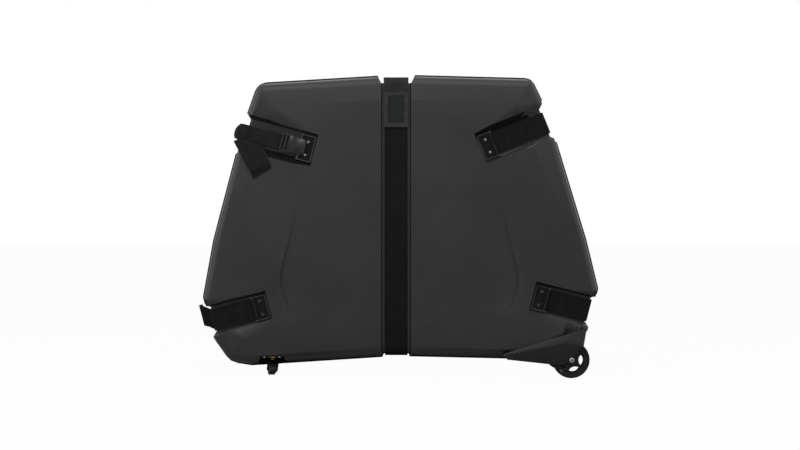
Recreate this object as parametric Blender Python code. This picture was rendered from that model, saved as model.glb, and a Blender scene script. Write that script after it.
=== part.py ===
"""Hard travel case for a bicycle, standing on two wheels and two casters.

Two moulded half shells part on the plane y = 0, the front half towards -Y. Straps at the four corners
and a belt round the middle hold them shut. The floor is z = 0. Sizes are in metres.
"""

import math

import bmesh
import bpy
from mathutils import Matrix, Vector

# Outline of the case at the parting plane, clockwise from the top left corner
# Each corner is x, z, fillet radius and the number of steps in its fillet
CORNERS = (
    (-0.4085, 0.8461, 0.041, 4),
    (-0.0065, 0.8702, 0.0, 0),
    (0.3875, 0.8598, 0.030, 2),
    (0.4190, 0.7955, 0.012, 1),
    (0.4384, 0.7498, 0.0, 0),
    (0.5477, 0.3898, 0.0, 0),
    (0.5823, 0.2476, 0.012, 2),
    (0.5280, 0.0390, 0.030, 2),
    (-0.0065, 0.0508, 0.0, 0),
    (-0.4253, 0.0240, 0.0, 0),
    (-0.4878, 0.0339, 0.050, 2),
    (-0.5372, 0.1037, 0.050, 2),
    (-0.5686, 0.2229, 0.020, 2),
    (-0.5387, 0.3887, 0.0, 0),
    (-0.4503, 0.7280, 0.0, 0),
)
TOP_RIGHT_EDGE, LOWER_RIGHT_EDGE, LOWER_LEFT_EDGE, TOP_LEFT_EDGE = 4, 6, 11, 13
TOP_EDGE, BOTTOM_EDGE = 0, 7

# Shell halves
HALF_DEPTH = 0.146
CROWN = 0.004
CROWN_INSET = 0.085
DRAFT = math.radians(7)
SHOULDER = 0.025
SHOULDER_STEPS = 4
WALL = 0.004
TIGHTEST_FILLET = 0.004
CLEAR = 0.0003
WELD = 0.00002
RIM_CUT = 0.010
PAST_RIM = 0.012
OVERCUT = 0.006

# Black edging clipped over each rim
EDGING = 0.003
EDGING_WIDTH = 0.010

# Recesses for the corner straps and channel for the belt
RECESS = 0.013
STRAP_WIDTH = 0.062
TOP_RECESS_WIDTH = STRAP_WIDTH + 0.014
LOWER_RECESS_WIDTH = STRAP_WIDTH + 0.009
TOP_WALL_SINK = 0.013
LOWER_WALL_SINK = 0.002
RIM_SLOPE = 1.0
TOP_RECESS_REACH = 0.226
LOWER_RECESS_REACH = 0.190
TOP_RIGHT_TURN = math.radians(5)
TOP_RIGHT_SINK = 0.005
SIDE_SLOPE = 0.35
BELT_X = -0.006
CHANNEL = 0.008
CHANNEL_WIDTH = 0.072
HAND_WELL_WIDTH = 0.112
HAND_WELL_FLOOR_WIDTH = 0.080
HAND_WELL_DEPTH = 0.034
HAND_WELL_SPAN = 0.112

# Raised form on the face: two shallow wedges fall away to the lower corners
WEDGE_DEPTH = 0.006
WEDGE_CREASE = ((0.2835, 0.500), (0.3330, 0.3075), (0.3370, 0.2670), (0.3130, 0.1945), (0.1700, 0.1865))
WEDGE_MIDDLE = 0.003

# Webbing
WEBBING = 0.0024
BUCKLE_WEBBING_WIDTH = 0.044
BELT_WIDTH = 0.066
LAP = 0.024
TAIL_LIFT = 0.0246
TAIL_FOLD = 0.0068
TAIL_SKEW = 0.018
REAR_RIM_STATIONS = (0.0006, 0.011, 0.035)
FRONT_RIM_STATIONS = (-LAP, 0.004, 0.036)
OUTER_STRAP_START = 0.048
STRAP_RAMP = 0.012

# Corner plates, measured along the strap from the inner end of the recess
PLATE_LENGTH = 0.044
PLATE = 0.0025
PLATE_MARGIN = 0.0012
PLATE_LIP = 0.0022
LIP_HEIGHT = 0.0016
BAR_PLACE = 0.040
BAR_RADIUS = 0.0018
EAR = 0.0028
EAR_LENGTH = 0.008
RIVET_PLACE = 0.020
RIVET_SPREAD = 0.038
RIVET_RADIUS = 0.0032
RIVET_HEAD = 0.0016
SHANK_RADIUS = 0.0016
BACKING = 0.0015
BACKING_WIDTH = 0.010
BACKING_END = 0.007

# Belt, with its padded grip and label pocket
GRIP_WIDTH = 0.0705
GRIP_PAD = 0.0032
GRIP_LOW_Z = 0.808
GRIP_END = 0.045
GRIP_BEND = 0.030
BELT_SAG = 0.006
REAR_BELT_END = 0.050
POCKET_LOW_Z = 0.708
POCKET_THICKNESS = 0.0026
POCKET_GLASS = (0.039, 0.076)
POCKET_RECESS = 0.0010

# Side-release buckle on the top left corner
SOCKET_START = 0.024
SOCKET_LENGTH = 0.036
BUCKLE_WIDTH = 0.050
BUCKLE_HEIGHT = 0.0115
BUCKLE_WALL = 0.0022
PLUG_LENGTH = 0.034
SOCKET_SHOULDER = 0.010
SOCKET_NOSE = 0.7
PLUG_SHOULDER = 0.008
PLUG_NOSE = 0.8
PLUG_INSET = 0.001
PRONG = 0.015
PRONG_ROOT = 0.004
PRONG_WIDTH = 0.005
PRONG_HEIGHT = 0.005
CATCH_WINDOW = (0.35, 0.85)
ADJUSTER_SLOT = 0.006
ADJUSTER_BAR = 0.0045
BULGE = 0.034
BULGE_STATIONS = (0.002, 0.022, 0.045, 0.075, 0.103)
BULGE_SHARES = (0.0, 0.35, 0.75, 0.95, 0.85, 0.72, 0.58, 0.38, 0.18, 0.02)
BULGE_DIP = 0.001

# Cover flap of the top left corner, hanging open: (inset, across) from the strap's middle
FLAP_OUTLINE = (
    (0.0023, -0.0327),
    (0.0128, -0.0230),
    (0.0815, -0.0237),
    (0.1166, -0.0642),
    (0.1252, -0.0771),
    (0.0826, -0.1210),
    (0.0661, -0.1026),
)
FLAP_THICKNESS = 0.003

# Main wheels
WHEEL_RADIUS = 0.0523
WHEEL_WIDTH = 0.024
WHEEL_X = 0.488
RIM_RADIUS = 0.0415
RIM_WALL = 0.006
RIM_WIDTH = 0.021
WEB = 0.008
HUB_RADIUS = 0.0145
WHEEL_SIDE_GAP = 0.0025
WHEEL_WINDOWS = 5
WINDOW_LENGTH = 0.029
WINDOW_WIDTH = 0.0125
WINDOW_RADIUS = 0.0272
WINDOW_STEPS = 5
FIRST_WINDOW = math.radians(-92)
AXLE_RADIUS = 0.004
AXLE_HEAD_RADIUS = 0.0072
AXLE_HEAD = 0.0034

# Wheel covers, with their seam against the shell from tip to peak to end
COVER_TIP = (0.2949, 0.0691)
COVER_PEAK = (0.5158, 0.1402)
COVER_END = (0.5308, 0.1343)
COVER_LOW = ((0.5218, 0.0930), (0.4690, 0.0405), (0.4329, 0.0400), (0.3067, 0.0534))
COVER_PROUD = 0.004
COVER_CHEEK = 0.0085
COVER_INNER_CHEEK = 0.005
COVER_BEVEL = 0.014
COVER_ROOF = 0.004
COVER_HOLLOW = ((0.330, 0.020), (0.440, 0.020), (0.440, 0.092), (0.330, 0.060))
COVER_ARCH = ((0.2946, 0.0640), (0.4689, 0.1006), (0.5195, 0.0922))
BOSS_RADIUS = 0.0135
WHEEL_WELL = 0.006
NUT_RADIUS = 0.0068
NUT = 0.006

# Casters
CASTER_X = -0.362
CASTER_OUT = 0.045
CASTER_TOP = 0.0607
CASTER_PLATE = 0.0055
CASTER_PLATE_SIDE = 0.056
CASTER_RACE = 0.0055
CASTER_RACE_RADIUS = 0.0165
CASTER_WHEEL_RADIUS = 0.0185
CASTER_WHEEL_WIDTH = 0.019
CASTER_TRAIL = 0.014
CASTER_TURN = math.radians(15)
FORK = 0.0024
FORK_GAP = 0.0010
FORK_RADIUS = 0.0150
FORK_END = 0.0055
KING_PIN_RADIUS = 0.004
KING_PIN_HEAD = 0.0016
CASTER_PIN_RADIUS = 0.0025
CASTER_PIN_HEAD = 0.0012
NOTCH_X = -0.357
NOTCH_TOP_WIDTH = 0.064
NOTCH_SLOPE = 0.4
NOTCH_START = 0.0136
NOTCH_FOOT = -0.05

# Foam
FOAM = 0.022
MIDDLE_FOAM = 0.024
MIDDLE_FOAM_PLACE = 0.005

FRONT, REAR = -1, 1
SKIN = EDGING + CLEAR
INSIDE = SKIN + WALL
FACE_OUT = HALF_DEPTH + CROWN


# Scene helpers


def clear_scene():
    for item in list(bpy.data.objects):
        bpy.data.objects.remove(item, do_unlink=True)


def finish(name):
    """Material by its base colour, roughness and metallic value."""
    looks = {
        "shell": ((0.045, 0.045, 0.047), 0.45, 0.0),
        "edging": ((0.008, 0.008, 0.008), 0.40, 0.0),
        "moulded": ((0.014, 0.014, 0.014), 0.45, 0.0),
        "buckle": ((0.018, 0.018, 0.018), 0.40, 0.0),
        "webbing": ((0.010, 0.010, 0.010), 0.85, 0.0),
        "grip": ((0.060, 0.060, 0.062), 0.80, 0.0),
        "foam": ((0.050, 0.050, 0.055), 0.95, 0.0),
        "tyre": ((0.012, 0.012, 0.012), 0.70, 0.0),
        "wheel": ((0.014, 0.014, 0.015), 0.45, 0.0),
        "steel": ((0.600, 0.600, 0.600), 0.28, 1.0),
        "brass": ((0.640, 0.430, 0.190), 0.30, 1.0),
    }
    colour, roughness, metallic = looks[name]
    material = bpy.data.materials.get(name) or bpy.data.materials.new(name)
    material.use_nodes = True
    shader = material.node_tree.nodes["Principled BSDF"]
    shader.inputs["Base Color"].default_value = (*colour, 1.0)
    shader.inputs["Roughness"].default_value = roughness
    shader.inputs["Metallic"].default_value = metallic
    return material


def keep(name, mesh):
    """Object from a bmesh, with doubles merged and faces turned outwards."""
    bmesh.ops.remove_doubles(mesh, verts=mesh.verts, dist=1e-6)
    bmesh.ops.recalc_face_normals(mesh, faces=mesh.faces)
    data = bpy.data.meshes.new(name)
    mesh.to_mesh(data)
    mesh.free()
    item = bpy.data.objects.new(name, data)
    bpy.context.scene.collection.objects.link(item)
    return item


def boolean(body, tool, operation="DIFFERENCE"):
    """Cuts tool from body, joins it or keeps what they share, and removes tool."""
    step = body.modifiers.new("step", "BOOLEAN")
    step.operation = operation
    step.solver = "EXACT"
    step.object = tool
    bpy.context.view_layer.update()
    graph = bpy.context.evaluated_depsgraph_get()
    result = bpy.data.meshes.new_from_object(body.evaluated_get(graph))
    body.modifiers.clear()
    mesh = bmesh.new()
    mesh.from_mesh(result)
    bmesh.ops.remove_doubles(mesh, verts=mesh.verts, dist=WELD)
    bmesh.ops.dissolve_degenerate(mesh, edges=mesh.edges, dist=WELD)
    mesh.to_mesh(result)
    mesh.free()
    body.data = result
    bpy.data.objects.remove(tool, do_unlink=True)
    return body


def dress(item, material, parent, smooth=None):
    """Gives a piece its material and hangs it on its parent, with its origin there."""
    item.data.materials.clear()
    item.data.materials.append(finish(material))
    item.data.transform(Matrix.Translation(-parent.matrix_world.translation))
    item.parent = parent
    if smooth:
        item.data.shade_smooth()
        item.data.set_sharp_from_angle(angle=math.radians(smooth))
    return item


def pivot(name, place, parent=None):
    """Empty at a joint's axis that a moving body hangs from."""
    empty = bpy.data.objects.new(name, None)
    empty.empty_display_size = 0.03
    bpy.context.scene.collection.objects.link(empty)
    empty.location = place
    if parent:
        empty.parent = parent
        empty.location = Vector(place) - parent.matrix_world.translation
    bpy.context.view_layer.update()
    return empty


# Solid makers


def prism(name, outline, low, high, place):
    """Flat outline of (a, b) points between c = low and c = high."""
    mesh = bmesh.new()
    corners = [mesh.verts.new(place(a, b, low)) for a, b in outline]
    face = mesh.faces.new(corners)
    grown = bmesh.ops.extrude_face_region(mesh, geom=[face])
    moved = [v for v in grown["geom"] if isinstance(v, bmesh.types.BMVert)]
    shift = place(0, 0, high) - place(0, 0, low)
    bmesh.ops.translate(mesh, verts=moved, vec=shift)
    return keep(name, mesh)


def box(name, low, high):
    """Block between two corners."""
    mesh = bmesh.new()
    bmesh.ops.create_cube(mesh, size=1.0)
    size = Vector(high) - Vector(low)
    bmesh.ops.scale(mesh, verts=mesh.verts, vec=size)
    bmesh.ops.translate(mesh, verts=mesh.verts, vec=(Vector(high) + Vector(low)) / 2)
    return keep(name, mesh)


def turned(name, profile, axis, place, steps=24):
    """Closed profile of (radius, height) points spun about an axis through place."""
    mesh = bmesh.new()
    turn = Vector(axis).to_track_quat("Z", "Y").to_matrix()
    corners = [mesh.verts.new(turn @ Vector((radius, 0, height))) for radius, height in profile]
    count = len(corners)
    edges = [mesh.edges.new((corners[i], corners[(i + 1) % count])) for i in range(count)]
    bmesh.ops.spin(
        mesh,
        geom=corners + edges,
        axis=turn @ Vector((0, 0, 1)),
        cent=(0, 0, 0),
        angle=2 * math.pi,
        steps=steps,
        use_merge=True,
    )
    bmesh.ops.dissolve_degenerate(mesh, edges=mesh.edges, dist=1e-6)
    bare = [edge for edge in mesh.edges if not edge.link_faces]
    bmesh.ops.delete(mesh, geom=bare, context="EDGES")
    bmesh.ops.translate(mesh, verts=mesh.verts, vec=place)
    return keep(name, mesh)


def rod(name, radius, low, high, steps=12):
    """Round bar between two points."""
    low, high = Vector(low), Vector(high)
    mesh = bmesh.new()
    bmesh.ops.create_cone(
        mesh,
        cap_ends=True,
        segments=steps,
        radius1=radius,
        radius2=radius,
        depth=(high - low).length,
    )
    turn = (high - low).to_track_quat("Z", "Y").to_matrix()
    bmesh.ops.rotate(mesh, verts=mesh.verts, cent=(0, 0, 0), matrix=turn)
    bmesh.ops.translate(mesh, verts=mesh.verts, vec=(low + high) / 2)
    return keep(name, mesh)


def ribbon(name, path, low, high, place, slope=0.0, width=STRAP_WIDTH, skew=0.0):
    """Strip along a section path, between two heights over it at each point.

    slope widens it with height, for a recess with drafted sides, and skew moves it sideways.
    """
    steps = [(Vector(b) - Vector(a)).normalized() for a, b in zip(path, path[1:])]
    lows, highs, slopes, skews = (
        value if isinstance(value, (list, tuple)) else [value] * len(path)
        for value in (low, high, slope, skew)
    )
    mesh = bmesh.new()
    rows = []
    for i, point in enumerate(path):
        before = steps[max(i - 1, 0)]
        after = steps[min(i, len(steps) - 1)]
        mean = (before + after).normalized()
        reach = 1 / max(mean.dot(before), 0.3)
        normal = Vector((-mean.y, mean.x)) * reach
        row = []
        for height, side in ((lows[i], -1), (lows[i], 1), (highs[i], 1), (highs[i], -1)):
            spot = Vector(point) + normal * height
            across = skews[i] + side * (width / 2 + height * slopes[i])
            row.append(mesh.verts.new(place(spot.x, spot.y, across)))
        rows.append(row)
    twisted = slopes[0] != slopes[-1]
    for first, second in zip(rows, rows[1:]):
        for k in range(4):
            after = (k + 1) % 4
            if twisted:
                mesh.faces.new((first[k], first[after], second[after]))
                mesh.faces.new((first[k], second[after], second[k]))
            else:
                mesh.faces.new((first[k], first[after], second[after], second[k]))
    mesh.faces.new(rows[0])
    mesh.faces.new(rows[-1])
    return keep(name, mesh)


# Shape of the case


def offset_corners(inset):
    """Corners of the outline with every side moved inwards."""
    sides = []
    for i, corner in enumerate(CORNERS):
        start = Vector(corner[:2])
        along = (Vector(CORNERS[(i + 1) % len(CORNERS)][:2]) - start).normalized()
        sides.append((start + inset * Vector((along.y, -along.x)), along))
    moved = []
    for i, (point, along) in enumerate(sides):
        last, back = sides[i - 1]
        cross = back.x * along.y - back.y * along.x
        gap = point - last
        moved.append(last + back * ((gap.x * along.y - gap.y * along.x) / cross))
    return moved


def outline_ring(inset):
    """Outline moved inwards, with its corners rounded."""
    corners = offset_corners(inset)
    ring = []
    for i, corner in enumerate(corners):
        radius, steps = CORNERS[i][2:]
        if not steps:
            ring.append(corner)
            continue
        radius = max(radius - inset, TIGHTEST_FILLET)
        before = (corners[i - 1] - corner).normalized()
        after = (corners[(i + 1) % len(corners)] - corner).normalized()
        half = math.acos(max(-1.0, min(1.0, before.dot(after)))) / 2
        centre = corner + (before + after).normalized() * radius / math.sin(half)
        start = corner + before * radius / math.tan(half) - centre
        end = corner + after * radius / math.tan(half) - centre
        first = math.atan2(start.y, start.x)
        turn = (math.atan2(end.y, end.x) - first + math.pi) % (2 * math.pi) - math.pi
        for k in range(steps + 1):
            angle = first + turn * k / steps
            ring.append(centre + radius * Vector((math.cos(angle), math.sin(angle))))
    return ring


def shoulder_centre():
    """Inset and distance out of the centre of the rounded shoulder."""
    out = HALF_DEPTH - SHOULDER
    return out * math.tan(DRAFT) + SHOULDER / math.cos(DRAFT), out


def section(depth, wall_at=()):
    """Points (inset, out) of a case half, depth below its outer surface, from rim to face.

    wall_at names distances out of the parting plane for more points on the side wall.
    """
    inset, out = shoulder_centre()
    radius = SHOULDER - depth
    points = []
    for place in wall_at:
        points.append((max(place, 0) * math.tan(DRAFT) + depth / math.cos(DRAFT), place))
    for k in range(SHOULDER_STEPS + 1):
        angle = DRAFT + (math.pi / 2 - DRAFT) * k / SHOULDER_STEPS
        points.append((inset - radius * math.cos(angle), out + radius * math.sin(angle)))
    points.append((CROWN_INSET, FACE_OUT - depth))
    return points


def envelope(name, depth, rim, side):
    """Closed form of a case half without its recesses, down to a plane at rim."""
    mesh = bmesh.new()
    rings = []
    stations = section(depth, (rim, 0.0)) if rim < 0 else section(depth, (rim,))
    for inset, out in stations:
        rings.append([mesh.verts.new((p.x, side * out, p.y)) for p in outline_ring(inset)])
    count = len(rings[0])
    for first, second in zip(rings, rings[1:]):
        for k in range(count):
            after = (k + 1) % count
            mesh.faces.new((first[k], first[after], second[after], second[k]))
    mesh.faces.new(rings[0])
    mesh.faces.new(rings[-1])
    return keep(name, mesh)


def edge_place(edge, along_edge, side, turn):
    """Places (inset, out, across) points square to one side of the outline, or turned from that."""
    start = Vector(CORNERS[edge][:2])
    along = (Vector(CORNERS[(edge + 1) % len(CORNERS)][:2]) - start).normalized()
    middle = start + along * along_edge
    along.rotate(Matrix.Rotation(turn, 2))
    inward = Vector((along.y, -along.x))

    def place(inset, out, across):
        spot = middle + along * across + inward * inset
        return Vector((spot.x, side * out, spot.y))

    return place


# The four strap corners: edge of the outline, place along it, recess width and reach
STRAP_CORNERS = {
    "top_left": (TOP_LEFT_EDGE, 0.322, TOP_RECESS_WIDTH, TOP_RECESS_REACH),
    "top_right": (TOP_RIGHT_EDGE, 0.0185, TOP_RECESS_WIDTH, TOP_RECESS_REACH),
    "lower_left": (LOWER_LEFT_EDGE, 0.054, LOWER_RECESS_WIDTH, LOWER_RECESS_REACH),
    "lower_right": (LOWER_RIGHT_EDGE, 0.0671, LOWER_RECESS_WIDTH, LOWER_RECESS_REACH),
}
TOP_CORNERS = ("top_left", "top_right")


def corner_place(corner, side):
    edge, along_edge = STRAP_CORNERS[corner][:2]
    return edge_place(edge, along_edge, side, TOP_RIGHT_TURN if corner == "top_right" else 0.0)


def floor_path(corner, depth, wall_at, end=0.0):
    """Section path along the floor of a recess, ending short of or past its inner end.

    The floor sinks deeper into the side wall towards the rim.
    """
    reach = STRAP_CORNERS[corner][3]
    sink = TOP_WALL_SINK if corner in TOP_CORNERS else LOWER_WALL_SINK
    sink += TOP_RIGHT_SINK if corner == "top_right" else 0.0
    wall = shoulder_centre()[1]
    path = []
    for inset, out in section(depth + RECESS, wall_at):
        share = 1 - min(max(out, 0) / wall, 1)
        path.append((inset + sink * share, out))
    return path + [(reach + end, FACE_OUT - depth - RECESS)]


def recess_tool(corner, depth, side):
    """Strap recess whose sides lean out more towards the rim, in the top corners from its inner end."""
    width, reach = STRAP_CORNERS[corner][2:]
    path = floor_path(corner, depth, (-PAST_RIM, 0.0, 0.040, 0.080), depth)
    wall = shoulder_centre()[1]
    slope = []
    for inset, out in path:
        share = max(1 - max(out, 0) / wall, 0)
        if corner in TOP_CORNERS:
            share = max(share, 1 - inset / reach)
        slope.append(SIDE_SLOPE + (RIM_SLOPE - SIDE_SLOPE) * share)
    top = RECESS + depth + TOP_WALL_SINK + 2 * OVERCUT
    return ribbon("tool", path, 0.0, top, corner_place(corner, side), slope, width + 2 * depth)


def belt_place(side):
    """Places (height, out, across) points in the section plane of the belt."""

    def place(height, out, across):
        return Vector((BELT_X + across, side * out, height))

    return place


def outline_height(top):
    """Height of the outline at the belt."""
    first = TOP_EDGE if top else BOTTOM_EDGE
    a, b = Vector(CORNERS[first][:2]), Vector(CORNERS[first + 1][:2])
    return a.y + (b.y - a.y) * (BELT_X - a.x) / (b.x - a.x)


def belt_path(depth, bottom_at, top_at):
    """Path (height, out) round a case half at the belt, from its bottom to its top."""
    bottom = [(outline_height(False) + t, out) for t, out in section(depth, bottom_at)]
    top = [(outline_height(True) - t, out) for t, out in section(depth, top_at)]
    return bottom + top[::-1]


def channel_tool(depth, side):
    path = belt_path(CHANNEL + depth, (-PAST_RIM, 0.0), (-PAST_RIM, 0.0))
    return ribbon(
        "tool", path, 0.0, CHANNEL + depth + OVERCUT, belt_place(side), SIDE_SLOPE, CHANNEL_WIDTH + 2 * depth
    )


def hand_well_tool(depth, side):
    """Wedge cut right through the top under the belt, where a hand goes."""
    top = outline_height(True)
    floor = top - HAND_WELL_DEPTH - depth
    rise = HAND_WELL_DEPTH + depth + 0.03
    spread = (HAND_WELL_WIDTH - HAND_WELL_FLOOR_WIDTH) / HAND_WELL_DEPTH * rise / 2
    half = HAND_WELL_FLOOR_WIDTH / 2 + depth
    outline = (
        (BELT_X - half, floor),
        (BELT_X + half, floor),
        (BELT_X + half + spread, floor + rise),
        (BELT_X - half - spread, floor + rise),
    )
    end = FACE_OUT + OVERCUT
    return prism("tool", outline, -PAST_RIM, end, lambda x, z, out: Vector((x, side * out, z)))


def notch_tool(depth, side):
    """Flared slot up into the bottom for a caster, from the face to just short of the rim."""
    top = CASTER_TOP + CLEAR - SKIN + depth
    half = NOTCH_TOP_WIDTH / 2 + depth * (math.hypot(1, NOTCH_SLOPE) - NOTCH_SLOPE)
    foot = half + NOTCH_SLOPE * (top - NOTCH_FOOT)
    outline = (
        (NOTCH_X - foot, NOTCH_FOOT),
        (NOTCH_X + foot, NOTCH_FOOT),
        (NOTCH_X + half, top),
        (NOTCH_X - half, top),
    )
    start, end = NOTCH_START - depth, FACE_OUT + OVERCUT
    return prism("tool", outline, start, end, lambda x, z, out: Vector((x, side * out, z)))


def grown(points, distance):
    """Open line of points moved sideways, to the left of its direction."""
    steps = [(b - a).normalized() for a, b in zip(points, points[1:])]
    moved = []
    for i, point in enumerate(points):
        before, after = steps[max(i - 1, 0)], steps[min(i, len(steps) - 1)]
        mean = (before + after).normalized()
        moved.append(point + Vector((-mean.y, mean.x)) * distance / mean.dot(before))
    return moved


def seam_points(raised, past=0.08):
    """Seam between shell and wheel cover, raised into the shell, from below its tip to past its end."""
    low, tip, peak, end = (Vector(point) for point in (COVER_LOW[-1], COVER_TIP, COVER_PEAK, COVER_END))
    low += (low - tip).normalized() * past
    end += (end - peak).normalized() * past
    return grown([low, tip, peak, end], raised)


def wheel_corner_tool(depth, side):
    """Lower right corner of the case, which the wheel cover takes."""
    line = seam_points(depth - SKIN)
    outline = [(point.x, point.y) for point in line] + [(line[-1].x, line[0].y)]
    return prism("tool", outline, -PAST_RIM, 0.4, lambda x, z, out: Vector((x, side * out, z)))


def wedge_tool(mirror, depth, side):
    """Shallow wedge on the face, deepest at the lower outer corner of its crease."""
    crease = [Vector(point) for point in WEDGE_CREASE]
    top, bottom = crease[0], crease[-1]
    fade = (bottom - top).normalized()
    away = Vector((-fade.y, fade.x))
    full = max((point - top).dot(away) for point in crease)
    mesh = bmesh.new()
    rows = []
    for point in grown(crease, depth):
        fall = (point - top).dot(away) / full
        low = FACE_OUT - SKIN - depth - WEDGE_DEPTH * fall
        spot = WEDGE_MIDDLE + mirror * point.x
        rows.append([mesh.verts.new((spot, side * out, point.y)) for out in (low, FACE_OUT + WEDGE_DEPTH)])
    count = len(rows)
    for k in range(count):
        first, second = rows[k], rows[(k + 1) % count]
        mesh.faces.new((first[0], second[0], second[1], first[1]))
    mesh.faces.new([row[1] for row in rows])
    mesh.faces.new([row[0] for row in rows])
    return keep("tool", mesh)


def half_form(name, depth, rim, side, wedges=False):
    """Case half with every recess, depth below its outermost surface."""
    body = envelope(name, depth, rim, side)
    for corner in STRAP_CORNERS:
        boolean(body, recess_tool(corner, depth, side))
    boolean(body, channel_tool(depth, side))
    boolean(body, hand_well_tool(depth, side))
    boolean(body, notch_tool(depth, side))
    boolean(body, wheel_corner_tool(depth, side))
    if wedges:
        for mirror in (-1, 1):
            boolean(body, wedge_tool(mirror, depth - SKIN, side))
    return body


def rivet_spots(corner, side):
    """Place function and (inset, across) of the two rivets of a corner plate."""
    reach = STRAP_CORNERS[corner][3]
    return corner_place(corner, side), [(reach - RIVET_PLACE, s * RIVET_SPREAD / 2) for s in (-1, 1)]


def rivet_holes(body, side, low, high):
    """Drills the rivet holes of all four corners between two distances out."""
    for corner in STRAP_CORNERS:
        place, spots = rivet_spots(corner, side)
        for inset, across in spots:
            radius = SHANK_RADIUS + CLEAR
            boolean(body, rod("tool", radius, place(inset, low, across), place(inset, high, across), 8))


RECESS_FLOOR = FACE_OUT - RECESS - SKIN


def make_shell(name, side, parent):
    shell = half_form(name, SKIN, CLEAR / 2, side, wedges=True)
    boolean(shell, half_form("tool", INSIDE, -RIM_CUT, side, wedges=True))
    rivet_holes(shell, side, RECESS_FLOOR - WALL - 0.002, RECESS_FLOOR + 0.002)
    return dress(shell, "shell", parent, 30)


def make_edging(name, side, parent):
    edging = half_form(name, 0.0, CLEAR / 2, side)
    boolean(edging, half_form("tool", EDGING, -RIM_CUT, side))
    lows = (-1, min(side * EDGING_WIDTH, 0), -1)
    highs = (1, max(side * EDGING_WIDTH, 0), 2)
    boolean(edging, box("tool", lows, highs), "INTERSECT")
    return dress(edging, "edging", parent, 30)


def make_foam(name, side, parent):
    """Pad against the inside of the face, held off it by the rivet strips."""
    depth = INSIDE + BACKING + 2 * CLEAR
    pad = half_form(name, depth, -RIM_CUT, side, wedges=True)
    cut = FACE_OUT - RECESS - depth - FOAM
    lows = (-1, min(-side * 0.2, side * cut), -1)
    highs = (1, max(-side * 0.2, side * cut), 2)
    boolean(pad, box("tool", lows, highs))
    return dress(pad, "foam", parent)


def rim_recess_tool(corner, depth, side, end):
    """Straight cut with the section that a recess has at the rim."""
    inset = floor_path(corner, depth, (0.0,))[0][0]
    path = [(inset, -PAST_RIM), (inset, end)]
    top = RECESS + depth + TOP_WALL_SINK + 2 * OVERCUT
    width = STRAP_CORNERS[corner][2] + 2 * depth
    return ribbon("tool", path, 0.0, top, corner_place(corner, side), RIM_SLOPE, width)


def make_middle_foam(parent):
    """Loose sheet that fills the rear half just behind the parting plane.

    Its corners keep clear of the flared recesses as it slides out past the rim.
    """
    depth = INSIDE + CLEAR
    pad = half_form("middle_foam", depth, -RIM_CUT, REAR)
    for corner in STRAP_CORNERS:
        end = MIDDLE_FOAM_PLACE + MIDDLE_FOAM + OVERCUT
        boolean(pad, rim_recess_tool(corner, depth, REAR, end))
    lows = (-1, MIDDLE_FOAM_PLACE, -1)
    highs = (1, MIDDLE_FOAM_PLACE + MIDDLE_FOAM, 2)
    boolean(pad, box("tool", lows, highs), "INTERSECT")
    return dress(pad, "foam", parent)


# Corner fastenings


def over_floor(height):
    """Distance out of a point height above the flat floor of a strap recess."""
    return RECESS_FLOOR + height


LOOP_RADIUS = BAR_RADIUS + CLEAR + WEBBING
BAR_HEIGHT = CLEAR + PLATE + 2 * CLEAR + LOOP_RADIUS
OUTER_LAYER = CLEAR + max(PLATE, WEBBING) + CLEAR
RIM_STEP = SKIN + CLEAR
LAP_STEP = RIM_STEP + WEBBING + CLEAR


def slab(name, place, inset, across, height):
    """Block over a recess floor, between two insets, two places across and two heights."""
    outline = [(inset[0], across[0]), (inset[1], across[0]), (inset[1], across[1]), (inset[0], across[1])]
    low, high = over_floor(height[0]), over_floor(height[1])
    return prism(name, outline, low, high, lambda a, b, c: place(a, c, b))


def make_plate(name, corner, side, parent):
    """Plate with a raised lip, two ears and a bar that the strap loops round."""
    place = corner_place(corner, side)
    width, reach = STRAP_CORNERS[corner][2:]
    half = width / 2 - PLATE_MARGIN
    inner, outer = reach - PLATE_MARGIN, reach - PLATE_LENGTH
    top = CLEAR + PLATE
    plate = slab(name, place, (outer, inner), (-half, half), (CLEAR, top + LIP_HEIGHT))
    tray = (outer - 0.01, inner - PLATE_LIP), (-half + PLATE_LIP, half - PLATE_LIP)
    boolean(plate, slab("tool", place, *tray, (top, top + 0.02)))
    bar = reach - BAR_PLACE
    ear = (bar - EAR_LENGTH / 2, bar + EAR_LENGTH / 2)
    for sign in (-1, 1):
        across = sorted((sign * (half - EAR), sign * half))
        height = (CLEAR + PLATE / 2, BAR_HEIGHT + BAR_RADIUS + 0.001)
        boolean(plate, slab("tool", place, ear, across, height), "UNION")
    ends = [place(bar, over_floor(BAR_HEIGHT), sign * (half - EAR / 2)) for sign in (-1, 1)]
    boolean(plate, rod("tool", BAR_RADIUS, *ends), "UNION")
    place, spots = rivet_spots(corner, side)
    for inset, across in spots:
        low, high = place(inset, over_floor(-0.002), across), place(inset, over_floor(0.02), across)
        boolean(plate, rod("tool", SHANK_RADIUS + CLEAR, low, high, 8))
    return dress(plate, "moulded", parent)


def make_rivets(name, corner, side, parent):
    """Pair of rivets with the strip that they are set through inside the shell."""
    place, spots = rivet_spots(corner, side)
    inset = spots[0][0]
    spread = (spots[0][1] - BACKING_END, spots[1][1] + BACKING_END)
    low = -WALL - CLEAR - BACKING
    pair = slab(
        name, place, (inset - BACKING_WIDTH / 2, inset + BACKING_WIDTH / 2), spread, (low, low + BACKING)
    )
    seat = CLEAR + PLATE + CLEAR - (low + BACKING / 2)
    profile = (
        (0, 0),
        (SHANK_RADIUS, 0),
        (SHANK_RADIUS, seat),
        (RIVET_RADIUS, seat),
        (RIVET_RADIUS * 0.8, seat + RIVET_HEAD * 0.7),
        (0, seat + RIVET_HEAD),
    )
    for inset, across in spots:
        foot = place(inset, over_floor(low + BACKING / 2), across)
        boolean(pair, turned("tool", profile, (0, side, 0), foot, 10), "UNION")
    return dress(pair, "steel", parent, 40)


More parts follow.
